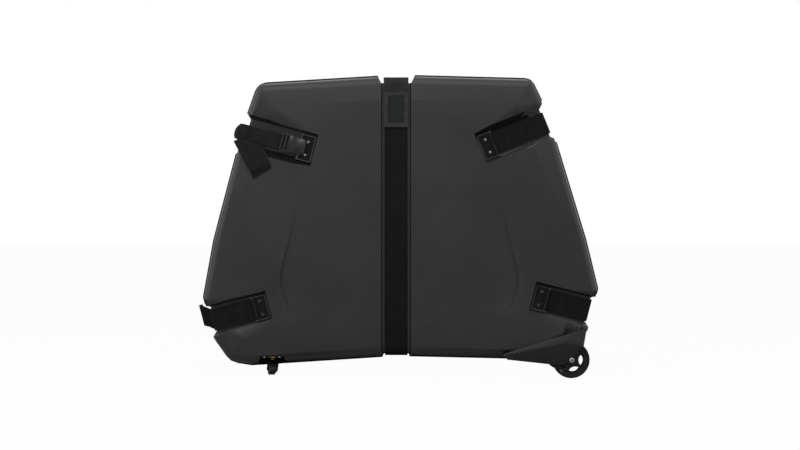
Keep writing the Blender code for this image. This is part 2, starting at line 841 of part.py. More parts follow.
def bar_loop(strap, corner, side):
    """Gives a strap the loop that holds it on the bar of its plate."""
    place = corner_place(corner, side)
    bar = STRAP_CORNERS[corner][3] - BAR_PLACE
    half = STRAP_WIDTH / 2 - CLEAR
    ends = [place(bar, over_floor(BAR_HEIGHT), sign * half) for sign in (-1, 1)]
    boolean(strap, rod("tool", LOOP_RADIUS, *ends, 14), "UNION")
    ends = [place(bar, over_floor(BAR_HEIGHT), sign * STRAP_WIDTH) for sign in (-1, 1)]
    return boolean(strap, rod("tool", BAR_RADIUS + CLEAR, *ends, 12))


def make_rear_strap(name, corner, parent):
    """Strap from the bar of the rear plate round to the rim."""
    reach = STRAP_CORNERS[corner][3]
    path = floor_path(corner, SKIN, REAR_RIM_STATIONS, -PLATE_LENGTH - STRAP_RAMP)
    path.append((reach - PLATE_LENGTH - STRAP_RAMP / 4, RECESS_FLOOR))
    path.append((reach - BAR_PLACE, RECESS_FLOOR))
    low = [RIM_STEP, RIM_STEP] + [CLEAR] * (len(path) - 4) + [OUTER_LAYER] * 2
    high = [height + WEBBING for height in low]
    strap = ribbon(name, path, low, high, corner_place(corner, REAR))
    bar_loop(strap, corner, REAR)
    return dress(strap, "webbing", parent)


def make_front_strap(name, corner, parent):
    """Inner strap layer of a closed corner, lapping over the rear strap.

    On the lower left corner its folded end stands loose.
    """
    loose = corner == "lower_left"
    stations = (-LAP, -LAP / 2, -LAP / 4) + FRONT_RIM_STATIONS[1:] if loose else FRONT_RIM_STATIONS
    path = floor_path(corner, SKIN, stations, -PLATE_LENGTH - 5 * CLEAR)
    low = [LAP_STEP] * (len(stations) - 1) + [CLEAR] * (len(path) - len(stations) + 1)
    high = [height + WEBBING for height in low]
    skew = [0.0] * len(path)
    if loose:
        lift = [TAIL_LIFT * 0.85, TAIL_LIFT, TAIL_LIFT * 0.6]
        low[:3] = [LAP_STEP + height for height in lift]
        high[:3] = [low[0] + TAIL_FOLD, low[1] + TAIL_FOLD, low[2] + WEBBING]
        skew[:3] = [TAIL_SKEW, TAIL_SKEW, TAIL_SKEW * 0.6]
    strap = ribbon(name, path, low, high, corner_place(corner, FRONT), skew=skew)
    return dress(strap, "webbing", parent)


def make_outer_strap(name, corner, parent):
    """Outer strap layer, hinged by its loop on the plate's bar."""
    path = floor_path(corner, SKIN, (OUTER_STRAP_START,), -BAR_PLACE)
    strap = ribbon(name, path, OUTER_LAYER, OUTER_LAYER + WEBBING, corner_place(corner, FRONT))
    bar_loop(strap, corner, FRONT)
    return dress(strap, "webbing", parent)


# Buckle of the open corner


def buckle_inset(place):
    return TOP_RECESS_REACH - place


BUCKLE_LOW = CLEAR + PLATE + CLEAR
SOCKET_END = SOCKET_START + SOCKET_LENGTH


def make_socket(parent):
    """Female half of the buckle, held on the bar, with side windows for its catches."""
    place = corner_place("top_left", FRONT)
    half = BUCKLE_WIDTH / 2
    start, end = buckle_inset(SOCKET_START), buckle_inset(SOCKET_END)
    nose, shoulder = half * SOCKET_NOSE, start - SOCKET_SHOULDER
    shape = [(start, -nose), (start, nose), (shoulder, half), (end, half), (end, -half), (shoulder, -half)]
    low, high = over_floor(BUCKLE_LOW), over_floor(BUCKLE_LOW + BUCKLE_HEIGHT)
    socket = prism("buckle_socket", shape, low, high, lambda a, b, c: place(a, c, b))
    hollow = half - BUCKLE_WALL * 2
    depth = PRONG + 2 * CLEAR
    inside = (BUCKLE_LOW + BUCKLE_WALL, BUCKLE_LOW + BUCKLE_HEIGHT - BUCKLE_WALL)
    boolean(socket, slab("tool", place, (end - 0.01, end + depth), (-hollow, hollow), inside))
    window = tuple(end + depth * share for share in CATCH_WINDOW)
    boolean(socket, slab("tool", place, window, (-2 * half, 2 * half), inside))
    ends = [place(buckle_inset(BAR_PLACE), over_floor(BAR_HEIGHT), sign * half * 2) for sign in (-1, 1)]
    boolean(socket, rod("tool", BAR_RADIUS + CLEAR, *ends, 12))
    return dress(socket, "buckle", parent)


def make_plug(parent):
    """Male half of the buckle, with two catches, a guide and an adjuster for the webbing."""
    place = corner_place("top_left", FRONT)
    half = BUCKLE_WIDTH / 2
    start = buckle_inset(SOCKET_END) - CLEAR
    end = start - PLUG_LENGTH
    low, high = BUCKLE_LOW + PLUG_INSET, BUCKLE_LOW + BUCKLE_HEIGHT - PLUG_INSET
    nose, shoulder = half * PLUG_NOSE, start - PLUG_SHOULDER
    shape = [(start, -nose), (start, nose), (shoulder, half), (end, half), (end, -half), (shoulder, -half)]
    plug = prism(
        "buckle_plug", shape, over_floor(low), over_floor(high), lambda a, b, c: place(a, c, b)
    )
    slot = BUCKLE_WEBBING_WIDTH / 2 + CLEAR
    for k in range(2):
        begin = end + PRONG_ROOT + k * (ADJUSTER_SLOT + ADJUSTER_BAR)
        gap = (begin, begin + ADJUSTER_SLOT)
        boolean(plug, slab("tool", place, gap, (-slot, slot), (0, 0.03)))
    middle = BUCKLE_LOW + BUCKLE_HEIGHT / 2
    height = (middle - PRONG_HEIGHT / 2, middle + PRONG_HEIGHT / 2)
    edge = half - BUCKLE_WALL * 2 - CLEAR
    for middle in (PRONG_WIDTH / 2 - edge, 0, edge - PRONG_WIDTH / 2):
        across = (middle - PRONG_WIDTH / 2, middle + PRONG_WIDTH / 2)
        catch = slab("tool", place, (start - PRONG_ROOT, start + PRONG), across, height)
        boolean(plug, catch, "UNION")
    return dress(plug, "buckle", parent)


def make_buckle_webbing(parent):
    """Slack webbing from the adjuster round the edge of the case, bulging off its side."""
    end = -SOCKET_END - PLUG_LENGTH - 2 * CLEAR
    path = floor_path("top_left", SKIN, (-LAP, *BULGE_STATIONS), end)
    middle = BUCKLE_LOW + BUCKLE_HEIGHT / 2 - WEBBING / 2
    low = [LAP_STEP] + [LAP_STEP + BULGE * share for share in BULGE_SHARES]
    low += [middle - BULGE_DIP, middle]
    high = [height + WEBBING for height in low]
    strap = ribbon(
        "buckle_webbing", path, low, high, corner_place("top_left", FRONT), width=BUCKLE_WEBBING_WIDTH
    )
    return dress(strap, "webbing", parent)


def make_cover_flap(parent):
    """Wide flap that covers the closed buckle, hanging open over the face."""
    place = corner_place("top_left", FRONT)
    low = FACE_OUT - SKIN + CLEAR
    flap = prism(
        "cover_flap", FLAP_OUTLINE, low, low + FLAP_THICKNESS, lambda a, b, c: place(a, c, b)
    )
    return dress(flap, "webbing", parent)


# Belt and carrying grip


def belt_heights(side):
    """Stations along the top of the belt and the heights there, rim first."""
    if side == FRONT:
        stations = (-REAR_BELT_END - LAP, -GRIP_END, GRIP_BEND, HAND_WELL_SPAN)
        level = CLEAR - BELT_SAG
        return stations, (level, level, level + GRIP_BEND * math.tan(DRAFT), CLEAR)
    level = REAR_BELT_END * math.tan(DRAFT) - BELT_SAG
    return (REAR_BELT_END, HAND_WELL_SPAN), (level - WEBBING, CLEAR)


def make_belt(name, side, parent):
    top_at, top_low = belt_heights(side)
    if side == FRONT:
        bottom_at, bottom_low = FRONT_RIM_STATIONS, (LAP_STEP, LAP_STEP, CLEAR)
    else:
        bottom_at, bottom_low = REAR_RIM_STATIONS, (RIM_STEP, RIM_STEP, CLEAR)
    path = belt_path(SKIN + CHANNEL, bottom_at, top_at)
    low = list(bottom_low) + [CLEAR] * (len(path) - len(bottom_low) - len(top_low)) + list(top_low[::-1])
    high = [height + WEBBING for height in low]
    belt = ribbon(name, path, low, high, belt_place(side), width=BELT_WIDTH)
    return dress(belt, "webbing", parent)


def make_grip(parent):
    """Padded sleeve round the belt where it spans the hand well, and down the face."""
    top_at, top_low = belt_heights(FRONT)
    top_at, top_low = (-GRIP_END,) + top_at[2:], top_low[1:]
    path = belt_path(SKIN + CHANNEL, (0.0,), top_at)
    face = FACE_OUT - SKIN - CHANNEL
    crown = outline_height(True) - CROWN_INSET
    start = next(i for i, (height, out) in enumerate(path) if abs(height - crown) < WELD)
    share = (GRIP_LOW_Z - crown) / (path[start + 1][0] - crown)
    first = (GRIP_LOW_Z, face + (path[start + 1][1] - face) * share)
    path = [first] + path[start + 1 :]
    belt_low = [CLEAR] * (len(path) - len(top_low)) + list(top_low[::-1])
    over = [height + WEBBING + CLEAR + GRIP_PAD for height in belt_low]
    under = [height + WEBBING - 0.001 for height in belt_low]
    for k in range(len(path) - 3, len(path)):
        under[k] = belt_low[k] - CLEAR - GRIP_PAD
    under[-4] = under[-3] = belt_low[-3] + WEBBING - 0.001
    grip = ribbon("grip_sleeve", path, under, over, belt_place(FRONT), width=GRIP_WIDTH)
    room = [height - CLEAR for height in belt_low], [height + WEBBING + CLEAR for height in belt_low]
    longer = [(path[0][0] - 0.02, face)] + path[1:-1] + [(path[-1][0], path[-1][1] - 0.02)]
    boolean(grip, ribbon("tool", longer, *room, belt_place(FRONT), width=BELT_WIDTH + 2 * CLEAR))
    return dress(grip, "grip", parent)


def make_pocket(parent):
    """Label pocket sewn on the belt, with a sunk window."""
    low = FACE_OUT - SKIN - CHANNEL + CLEAR + WEBBING + CLEAR
    high = low + POCKET_THICKNESS
    half = BELT_WIDTH / 2
    top = GRIP_LOW_Z - CLEAR
    pocket = box("label_pocket", (BELT_X - half, -high, POCKET_LOW_Z), (BELT_X + half, -low, top))
    width, tall = POCKET_GLASS
    middle = (POCKET_LOW_Z + top) / 2
    lows = (BELT_X - width / 2, -high - 0.01, middle - tall / 2)
    highs = (BELT_X + width / 2, -high + POCKET_RECESS, middle + tall / 2)
    boolean(pocket, box("tool", lows, highs))
    return dress(pocket, "webbing", parent)


# Wheels and wheel covers

WHEEL_OUT = FACE_OUT + COVER_PROUD - COVER_CHEEK - WHEEL_SIDE_GAP - WHEEL_WIDTH / 2
WELL_OUT = (WHEEL_OUT - WHEEL_WIDTH / 2 - WHEEL_SIDE_GAP, WHEEL_OUT + WHEEL_WIDTH / 2 + WHEEL_SIDE_GAP)


def wheel_centre(side):
    return Vector((WHEEL_X, side * WHEEL_OUT, WHEEL_RADIUS))


def side_prism(name, outline, low, high, side):
    """Outline of (x, z) points between two distances out."""
    return prism(name, outline, low, high, lambda x, z, out: Vector((x, side * out, z)))


def cover_bevel_tool(first, second, side):
    """Wedge that slopes the cheek back from an arch edge to the peak of the seam."""
    start, end = Vector(first), Vector(second)
    along = (end - start).normalized()
    up = Vector((-along.y, along.x))
    fall = COVER_BEVEL / (Vector(COVER_PEAK) - start).dot(up)
    face = FACE_OUT + COVER_PROUD
    width = 0.1
    outline = ((0, face), (width, face - fall * width), (width, face + width), (0, face + width))

    def place(rise, out, step):
        spot = start + along * step + up * rise
        return Vector((spot.x, side * out, spot.y))

    return prism("tool", outline, -0.2, 0.2, place)


def make_cover(name, side, parent):
    """Cover of a wheel: a roof against the shell, a hollow cheek block and the axle bosses."""
    line = seam_points(-CLEAR, 0)
    under = grown(line, -COVER_ROOF)[:0:-1]
    inner = WELL_OUT[0] - COVER_INNER_CHEEK
    outer = FACE_OUT + COVER_PROUD
    cover = side_prism(name, line[1:] + under, EDGING_WIDTH + CLEAR, outer - COVER_CHEEK / 2, side)
    cheek = line + [Vector(point) for point in COVER_LOW[:-1]]
    boolean(cover, side_prism("tool", cheek, inner, outer, side), "UNION")
    x, out, z = wheel_centre(side)
    well = (x, side * WELL_OUT[0], z), (x, side * WELL_OUT[1], z)
    boolean(cover, rod("tool", WHEEL_RADIUS + WHEEL_WELL, *well, 40))
    boolean(cover, side_prism("tool", COVER_HOLLOW, *WELL_OUT, side))
    for low, high in ((inner, WELL_OUT[0]), (WELL_OUT[1], outer)):
        ends = (x, side * low, z), (x, side * high, z)
        boolean(cover, rod("tool", BOSS_RADIUS, *ends, 20), "UNION")
    for first, second in zip(COVER_ARCH, COVER_ARCH[1:]):
        boolean(cover, cover_bevel_tool(first, second, side))
    ends = (x, side * (inner - 0.01), z), (x, side * (outer + 0.01), z)
    boolean(cover, rod("tool", AXLE_RADIUS + CLEAR, *ends, 16))
    return dress(cover, "moulded", parent, 30)


def make_axle(name, side, parent):
    """Axle bolt with a sunk head outside and a nut inside."""
    nut = -(WHEEL_OUT - (WELL_OUT[0] - COVER_INNER_CHEEK - CLEAR))
    head = FACE_OUT + COVER_PROUD + CLEAR - WHEEL_OUT
    top = head + AXLE_HEAD
    profile = (
        (0, nut - NUT),
        (NUT_RADIUS, nut - NUT),
        (NUT_RADIUS, nut),
        (AXLE_RADIUS, nut),
        (AXLE_RADIUS, head),
        (AXLE_HEAD_RADIUS, head),
        (AXLE_HEAD_RADIUS, top - AXLE_HEAD / 3),
        (AXLE_HEAD_RADIUS * 0.85, top),
        (AXLE_HEAD_RADIUS * 0.4, top),
        (AXLE_HEAD_RADIUS * 0.4, top - AXLE_HEAD / 2),
        (0, top - AXLE_HEAD / 2),
    )
    bolt = turned(name, profile, (0, side, 0), wheel_centre(side), 16)
    return dress(bolt, "steel", parent, 40)


def window_tool(angle, side):
    """Leaf shape cut through the web of a wheel."""
    length, width = WINDOW_LENGTH / 2, WINDOW_WIDTH / 2
    radius = (length**2 + width**2) / (2 * width)
    sweep = math.asin(length / radius)
    outline = []
    for sign in (1, -1):
        for k in range(WINDOW_STEPS):
            turn = sign * sweep * (1 - 2 * k / WINDOW_STEPS)
            outline.append((radius * math.sin(turn), sign * (radius * math.cos(turn) - radius + width)))
    centre = wheel_centre(side)

    def place(along, across, out):
        spot = Vector((along, WINDOW_RADIUS + across))
        spot.rotate(Matrix.Rotation(angle, 2))
        return centre + Vector((spot.x, out, spot.y))

    return prism("tool", outline, -WHEEL_WIDTH, WHEEL_WIDTH, place)


def make_wheel(name, side, parent):
    """Moulded wheel with leaf-shaped windows in its web."""
    half = WHEEL_WIDTH / 2
    inner = RIM_RADIUS - RIM_WALL
    bore = AXLE_RADIUS + CLEAR
    profile = [(bore, half), (HUB_RADIUS, half), (HUB_RADIUS + 0.001, WEB / 2), (inner, WEB / 2)]
    profile += [(inner + 0.001, RIM_WIDTH / 2), (RIM_RADIUS, RIM_WIDTH / 2)]
    profile += [(radius, -height) for radius, height in profile[::-1]]
    wheel = turned(name, profile, (0, 1, 0), wheel_centre(side), 32)
    for k in range(WHEEL_WINDOWS):
        boolean(wheel, window_tool(FIRST_WINDOW - 2 * math.pi * k / WHEEL_WINDOWS, side))
    return dress(wheel, "wheel", parent, 30)


def make_tyre(name, side, parent):
    half = WHEEL_WIDTH / 2
    low, high = RIM_RADIUS + CLEAR, WHEEL_RADIUS
    depth = high - low
    profile = [(low, half * 0.85), (low + depth * 0.5, half), (low + depth * 0.85, half * 0.9)]
    profile.append((high, half * 0.6))
    profile += [(radius, -height) for radius, height in profile[::-1]]
    tyre = turned(name, profile, (0, 1, 0), wheel_centre(side), 32)
    return dress(tyre, "tyre", parent, 40)


# Casters


def caster_axes(side):
    """Direction the wheel trails in and direction of its axle."""
    trail = Vector((-math.sin(CASTER_TURN), -side * math.cos(CASTER_TURN), 0))
    return trail, Vector((trail.y, -trail.x, 0))


def caster_centre(side):
    return Vector((CASTER_X, side * CASTER_OUT, CASTER_WHEEL_RADIUS)) + caster_axes(side)[0] * CASTER_TRAIL


PLATE_UNDER = CASTER_TOP - CASTER_PLATE
RACE_UNDER = PLATE_UNDER - CLEAR - CASTER_RACE
FORK_TOP = RACE_UNDER - CLEAR


def make_caster_plate(name, side, parent):
    """Square plate against the shell, with the pin that the fork swivels on."""
    half = CASTER_PLATE_SIDE / 2
    middle = Vector((CASTER_X, side * CASTER_OUT, 0))
    low, high = middle + Vector((-half, -half, PLATE_UNDER)), middle + Vector((half, half, CASTER_TOP))
    plate = box(name, low, high)
    head = FORK_TOP - FORK - CLEAR
    profile = (
        (0, head - KING_PIN_HEAD),
        (KING_PIN_RADIUS * 1.6, head - KING_PIN_HEAD),
        (KING_PIN_RADIUS * 1.6, head),
        (KING_PIN_RADIUS, head),
        (KING_PIN_RADIUS, PLATE_UNDER + CASTER_PLATE / 2),
        (0, PLATE_UNDER + CASTER_PLATE / 2),
    )
    boolean(plate, turned("tool", profile, (0, 0, 1), middle, 16), "UNION")
    return dress(plate, "steel", parent, 40)


def make_race(name, side, parent):
    bore = KING_PIN_RADIUS + CLEAR
    radius = CASTER_RACE_RADIUS
    high = RACE_UNDER + CASTER_RACE
    profile = ((bore, RACE_UNDER), (radius * 0.9, RACE_UNDER), (radius, RACE_UNDER + CASTER_RACE * 0.3))
    profile += ((radius, high - CASTER_RACE * 0.3), (radius * 0.9, high), (bore, high))
    race = turned(name, profile, (0, 0, 1), (CASTER_X, side * CASTER_OUT, 0), 24)
    return dress(race, "brass", parent, 40)


def make_fork(name, side, parent):
    """Fork: a round crown and two legs down to the caster's axle."""
    middle = Vector((CASTER_X, side * CASTER_OUT, 0))
    trail, axle = caster_axes(side)
    low, high = (middle + Vector((0, 0, height)) for height in (FORK_TOP - FORK, FORK_TOP))
    fork = rod(name, FORK_RADIUS, low, high, 24)
    gap = CASTER_WHEEL_WIDTH / 2 + FORK_GAP
    centre = CASTER_WHEEL_RADIUS
    back, front = -FORK_RADIUS * 0.55, FORK_RADIUS * 0.65
    end = FORK_END
    outline = [(back, FORK_TOP - CLEAR), (front, FORK_TOP - CLEAR), (CASTER_TRAIL + end, centre + end)]
    outline += [(CASTER_TRAIL + end, centre - end / 2), (CASTER_TRAIL + end / 2, centre - end)]
    outline += [(CASTER_TRAIL - end / 2, centre - end), (CASTER_TRAIL - end, centre - end / 2)]

    def place(along, height, across):
        return middle + trail * along + axle * across + Vector((0, 0, height))

    for low, high in ((-gap - FORK, -gap), (gap, gap + FORK)):
        boolean(fork, prism("tool", outline, low, high, place), "UNION")
    low, high = (middle + Vector((0, 0, FORK_TOP + rise)) for rise in (-OVERCUT, OVERCUT))
    boolean(fork, rod("tool", KING_PIN_RADIUS + CLEAR, low, high, 16))
    centre = caster_centre(side)
    boolean(fork, rod("tool", CASTER_PIN_RADIUS + CLEAR, centre - axle * 0.03, centre + axle * 0.03, 12))
    return dress(fork, "steel", parent, 40)


def make_caster_pin(name, side, parent):
    shoulder = CASTER_WHEEL_WIDTH / 2 + FORK_GAP + FORK + CLEAR
    end = shoulder + CASTER_PIN_HEAD
    head = CASTER_PIN_RADIUS * 1.5
    profile = [(0, end), (head * 0.8, end), (head, shoulder + CASTER_PIN_HEAD / 2), (head, shoulder)]
    profile.append((CASTER_PIN_RADIUS, shoulder))
    profile += [(radius, -height) for radius, height in profile[::-1]]
    pin = turned(name, profile, caster_axes(side)[1], caster_centre(side), 12)
    return dress(pin, "steel", parent, 40)


def make_caster_wheel(name, side, parent):
    half = CASTER_WHEEL_WIDTH / 2
    bore, hub = CASTER_PIN_RADIUS + CLEAR, CASTER_PIN_RADIUS * 2.4
    radius = CASTER_WHEEL_RADIUS
    profile = [(bore, half), (hub, half), (hub + 0.001, half - 0.002), (radius * 0.72, half - 0.002)]
    profile += [(radius * 0.76, half), (radius * 0.92, half), (radius, half * 0.75)]
    profile += [(spot, -height) for spot, height in profile[::-1]]
    wheel = turned(name, profile, caster_axes(side)[1], caster_centre(side), 22)
    return dress(wheel, "wheel", parent, 30)


# The case: the rear half stands still, and everything else hangs from it

clear_scene()
rear_half = pivot("rear_half", (0, 0, 0))
lid = pivot("lid", (0, 0, 0), rear_half)
loose_foam = pivot("loose_foam", (0, 0, 0), rear_half)
make_middle_foam(loose_foam)

for end, side, half in (("rear", REAR, rear_half), ("front", FRONT, lid)):
    make_shell(f"{end}_shell", side, half)
    make_edging(f"{end}_edging", side, half)
    make_foam(f"{end}_foam", side, half)
    for corner in STRAP_CORNERS:
        make_plate(f"plate_{corner}_{end}", corner, side, half)
        make_rivets(f"rivets_{corner}_{end}", corner, side, half)
    make_belt(f"belt_{end}", side, half)

    make_cover(f"wheel_cover_{end}", side, half)
    make_axle(f"axle_bolt_{end}", side, half)
    hub = pivot(f"wheel_axis_{end}", wheel_centre(side), half)
    make_wheel(f"wheel_{end}", side, hub)
    make_tyre(f"tyre_{end}", side, hub)

    make_caster_plate(f"caster_plate_{end}", side, half)
    swivel = pivot(f"swivel_axis_{end}", (CASTER_X, side * CASTER_OUT, FORK_TOP), half)
    make_race(f"caster_race_{end}", side, swivel)
    make_fork(f"caster_fork_{end}", side, swivel)
    make_caster_pin(f"caster_pin_{end}", side, swivel)
    roller = pivot(f"caster_axis_{end}", caster_centre(side), swivel)
    make_caster_wheel(f"caster_wheel_{end}", side, roller)

for corner in STRAP_CORNERS:
    make_rear_strap(f"strap_{corner}_rear", corner, rear_half)
    if corner == "top_left":
        continue
    make_front_strap(f"strap_{corner}_inner", corner, lid)
    bar = STRAP_CORNERS[corner][3] - BAR_PLACE
    place = corner_place(corner, FRONT)
    hinge = pivot(f"flap_axis_{corner}", place(bar, over_floor(BAR_HEIGHT), 0), lid)
    make_outer_strap(f"strap_{corner}_outer", corner, hinge)

make_buckle_webbing(lid)
make_socket(lid)
place = corner_place("top_left", FRONT)
catch = pivot("buckle_axis", place(buckle_inset(SOCKET_END), over_floor(BUCKLE_LOW), 0), lid)
make_plug(catch)
make_cover_flap(lid)
make_grip(lid)
make_pocket(lid)
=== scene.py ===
import math

import bmesh
import bpy
import numpy as np
from mathutils import Matrix, Vector, noise
from mathutils.bvhtree import BVHTree


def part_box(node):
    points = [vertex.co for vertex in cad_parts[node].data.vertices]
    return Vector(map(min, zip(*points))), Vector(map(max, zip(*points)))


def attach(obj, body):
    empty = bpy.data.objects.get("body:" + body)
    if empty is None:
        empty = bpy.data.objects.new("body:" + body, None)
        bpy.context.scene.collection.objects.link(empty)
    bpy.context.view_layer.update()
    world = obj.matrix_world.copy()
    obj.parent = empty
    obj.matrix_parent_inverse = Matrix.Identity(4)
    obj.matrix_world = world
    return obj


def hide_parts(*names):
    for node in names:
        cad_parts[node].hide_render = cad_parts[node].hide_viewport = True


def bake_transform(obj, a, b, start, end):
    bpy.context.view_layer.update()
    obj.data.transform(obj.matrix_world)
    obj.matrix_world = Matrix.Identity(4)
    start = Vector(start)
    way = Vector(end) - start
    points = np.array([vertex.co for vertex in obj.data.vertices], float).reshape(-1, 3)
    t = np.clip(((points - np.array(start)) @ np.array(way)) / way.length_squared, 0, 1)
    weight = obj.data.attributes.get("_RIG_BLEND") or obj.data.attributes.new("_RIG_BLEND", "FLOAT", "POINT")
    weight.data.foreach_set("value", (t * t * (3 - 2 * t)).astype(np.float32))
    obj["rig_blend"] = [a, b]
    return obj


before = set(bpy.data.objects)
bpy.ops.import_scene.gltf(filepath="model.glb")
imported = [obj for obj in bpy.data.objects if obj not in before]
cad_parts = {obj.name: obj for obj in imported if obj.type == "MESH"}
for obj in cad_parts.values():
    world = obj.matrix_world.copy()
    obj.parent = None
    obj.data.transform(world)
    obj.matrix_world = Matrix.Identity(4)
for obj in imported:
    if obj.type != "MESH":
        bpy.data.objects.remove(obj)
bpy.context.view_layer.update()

# Half shells. Each is thermoformed from a 4 mm sheet of black plastic with a satin grain,
# drawn over a mould, so every edge and crease of it is softly rounded. They are trimmed flat
# at the parting line and carry everything else.

HALVES = (("front", "lid", -1), ("rear", "rear_half", 1))
SHELL_RADIUS = 0.0016
SHELL_CREASE = math.radians(24)
SHELL_COLOUR = (0.0172, 0.0172, 0.0174)
SHELL_SHINE = 0.24


def merged(node):
    """Copy of a CAD node's mesh with its loose triangles joined and its flat faces made whole."""
    bm = bmesh.new()
    bm.from_mesh(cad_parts[node].data)
    bmesh.ops.remove_doubles(bm, verts=bm.verts, dist=0.00001)
    flat = math.radians(0.4)
    bmesh.ops.dissolve_limit(bm, angle_limit=flat, verts=bm.verts, edges=bm.edges)
    return bm


def soften(bm, radius, crease, segments=2):
    """Rounds every edge that is sharper than crease, and marks the rounded faces for a painted highlight."""
    scuffed_and_highlit = bm.faces.layers.float.get("painted_highlight") or bm.faces.layers.float.new("painted_highlight")
    edges = [e for e in bm.edges if e.is_manifold and e.calc_face_angle(0) > crease]
    made = bmesh.ops.bevel(
        bm, geom=edges, offset=radius, segments=segments, profile=0.5, affect="EDGES",
        material=-1, clamp_overlap=True, face_strength_mode="ALL",
    )
    for face in made["faces"]:
        face[scuffed_and_highlit] = 1.0


def shown(name, bm, finish, body, stands_for=(), smooth=40):
    """Makes a piece of a bmesh and sets it on its body, or on none where it bends between two."""
    mesh = bpy.data.meshes.new(name)
    bmesh.ops.remove_doubles(bm, verts=bm.verts, dist=0.000005)
    bmesh.ops.triangulate(bm, faces=[f for f in bm.faces if len(f.verts) > 4])
    bm.to_mesh(mesh)
    bm.free()
    mesh.polygons.foreach_set("use_smooth", [True] * len(mesh.polygons))
    mesh.set_sharp_from_angle(angle=math.radians(smooth))
    mesh.materials.append(finish)
    piece = bpy.data.objects.new(name, mesh)
    bpy.context.scene.collection.objects.link(piece)
    if body:
        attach(piece, body)
    if stands_for:
        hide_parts(*stands_for)
    flat_faces = piece.modifiers.new("flat_faces", "WEIGHTED_NORMAL")
    flat_faces.keep_sharp = True
    flat_faces.use_face_influence = True
    return piece


def add(tree, kind, **sockets):
    """Adds a shader node. A socket takes a value or another node's output, by name or as in0, in1."""
    made = tree.nodes.new("ShaderNode" + kind)
    for key, value in sockets.items():
        if key[:2] == "in" and key[2:].isdigit():
            socket = made.inputs[int(key[2:])]
        elif key in made.inputs:
            socket = made.inputs[key]
        else:
            setattr(made, key, value)
            continue
        if isinstance(value, bpy.types.NodeSocket):
            tree.links.new(value, socket)
        else:
            socket.default_value = value
    return made


def effect(name, inputs, outputs):
    """Empty shader node group with its sockets, and its two end nodes."""
    group = bpy.data.node_groups.new(name, "ShaderNodeTree")
    for label, value in inputs.items():
        kind = "NodeSocketVector" if value is None else "NodeSocketFloat"
        socket = group.interface.new_socket(label, in_out="INPUT", socket_type=kind)
        if value is not None:
            socket.default_value = value
    for label in outputs:
        group.interface.new_socket(label, in_out="OUTPUT", socket_type="NodeSocketFloat")
    return group, group.nodes.new("NodeGroupInput"), group.nodes.new("NodeGroupOutput")


def grain_effect():
    """Fine moulded grain: small cells, broken up by noise."""
    group, start, end = effect("moulded_grain", {"Vector": None, "Cells": 900.0}, ["Height", "Mottle"])
    cells = add(group, "TexVoronoi", Vector=start.outputs["Vector"], Scale=start.outputs["Cells"])
    half = add(group, "Math", operation="MULTIPLY", in0=start.outputs["Cells"], in1=0.45)
    rough = add(group, "TexNoise", Vector=start.outputs["Vector"], Scale=half.outputs[0], Detail=3.0)
    height = add(group, "Math", operation="MULTIPLY_ADD", in0=cells.outputs["Distance"], in1=0.6)
    group.links.new(rough.outputs[0], height.inputs[2])
    cloud = add(group, "TexNoise", Vector=start.outputs["Vector"], Scale=5.5, Detail=4.0, Roughness=0.6)
    group.links.new(height.outputs[0], end.inputs["Height"])
    group.links.new(cloud.outputs[0], end.inputs["Mottle"])
    return group


def scuff_effect():
    """Thin handling scratches in two directions, thinned out by patches."""
    group, start, end = effect("scuffs", {"Vector": None, "Amount": 0.5}, ["Mask"])
    masks = []
    for turn, stretch in ((0.4, 14.0), (-0.9, 11.0)):
        lean = add(group, "Mapping", Vector=start.outputs["Vector"], Rotation=(0.3, turn, 0.2))
        long = add(group, "Mapping", Vector=lean.outputs[0], Scale=(stretch * 14, stretch * 14, 9.0))
        lines = add(group, "TexNoise", Vector=long.outputs[0], Scale=1.0, Detail=2.0)
        masks.append(add(group, "MapRange", Value=lines.outputs[0], in1=0.70, in2=0.78))
    both = add(group, "Math", operation="MAXIMUM", in0=masks[0].outputs[0], in1=masks[1].outputs[0])
    patches = add(group, "TexNoise", Vector=start.outputs["Vector"], Scale=7.0, Detail=2.0)
    where = add(group, "MapRange", Value=patches.outputs[0], in1=0.5, in2=0.68)
    kept = add(group, "Math", operation="MULTIPLY", in0=both.outputs[0], in1=where.outputs[0])
    much = add(group, "Math", operation="MULTIPLY", in0=kept.outputs[0], in1=start.outputs["Amount"])
    group.links.new(much.outputs[0], end.inputs["Mask"])
    return group


def tones(tree, mask, first, second):
    """Colour between two tones by a mask."""
    ramp = add(tree, "Mix", data_type="RGBA", in0=mask, in6=(*first, 1), in7=(*second, 1))
    return ramp.outputs[2]


def between(tree, mask, low, high, start=0.0, end=1.0):
    """Mask stretched to the range low to high."""
    return add(tree, "MapRange", Value=mask, in1=start, in2=end, in3=low, in4=high).outputs[0]


def shader(name, **plain):
    """Material with its Principled BSDF, whose plain sockets are set here."""
    finish = bpy.data.materials.new(name)
    finish.use_nodes = True
    bsdf = finish.node_tree.nodes["Principled BSDF"]
    for key, value in plain.items():
        bsdf.inputs[key.replace("_", " ")].default_value = value
    return finish, finish.node_tree, bsdf


moulded_grain, scuffs = grain_effect(), scuff_effect()


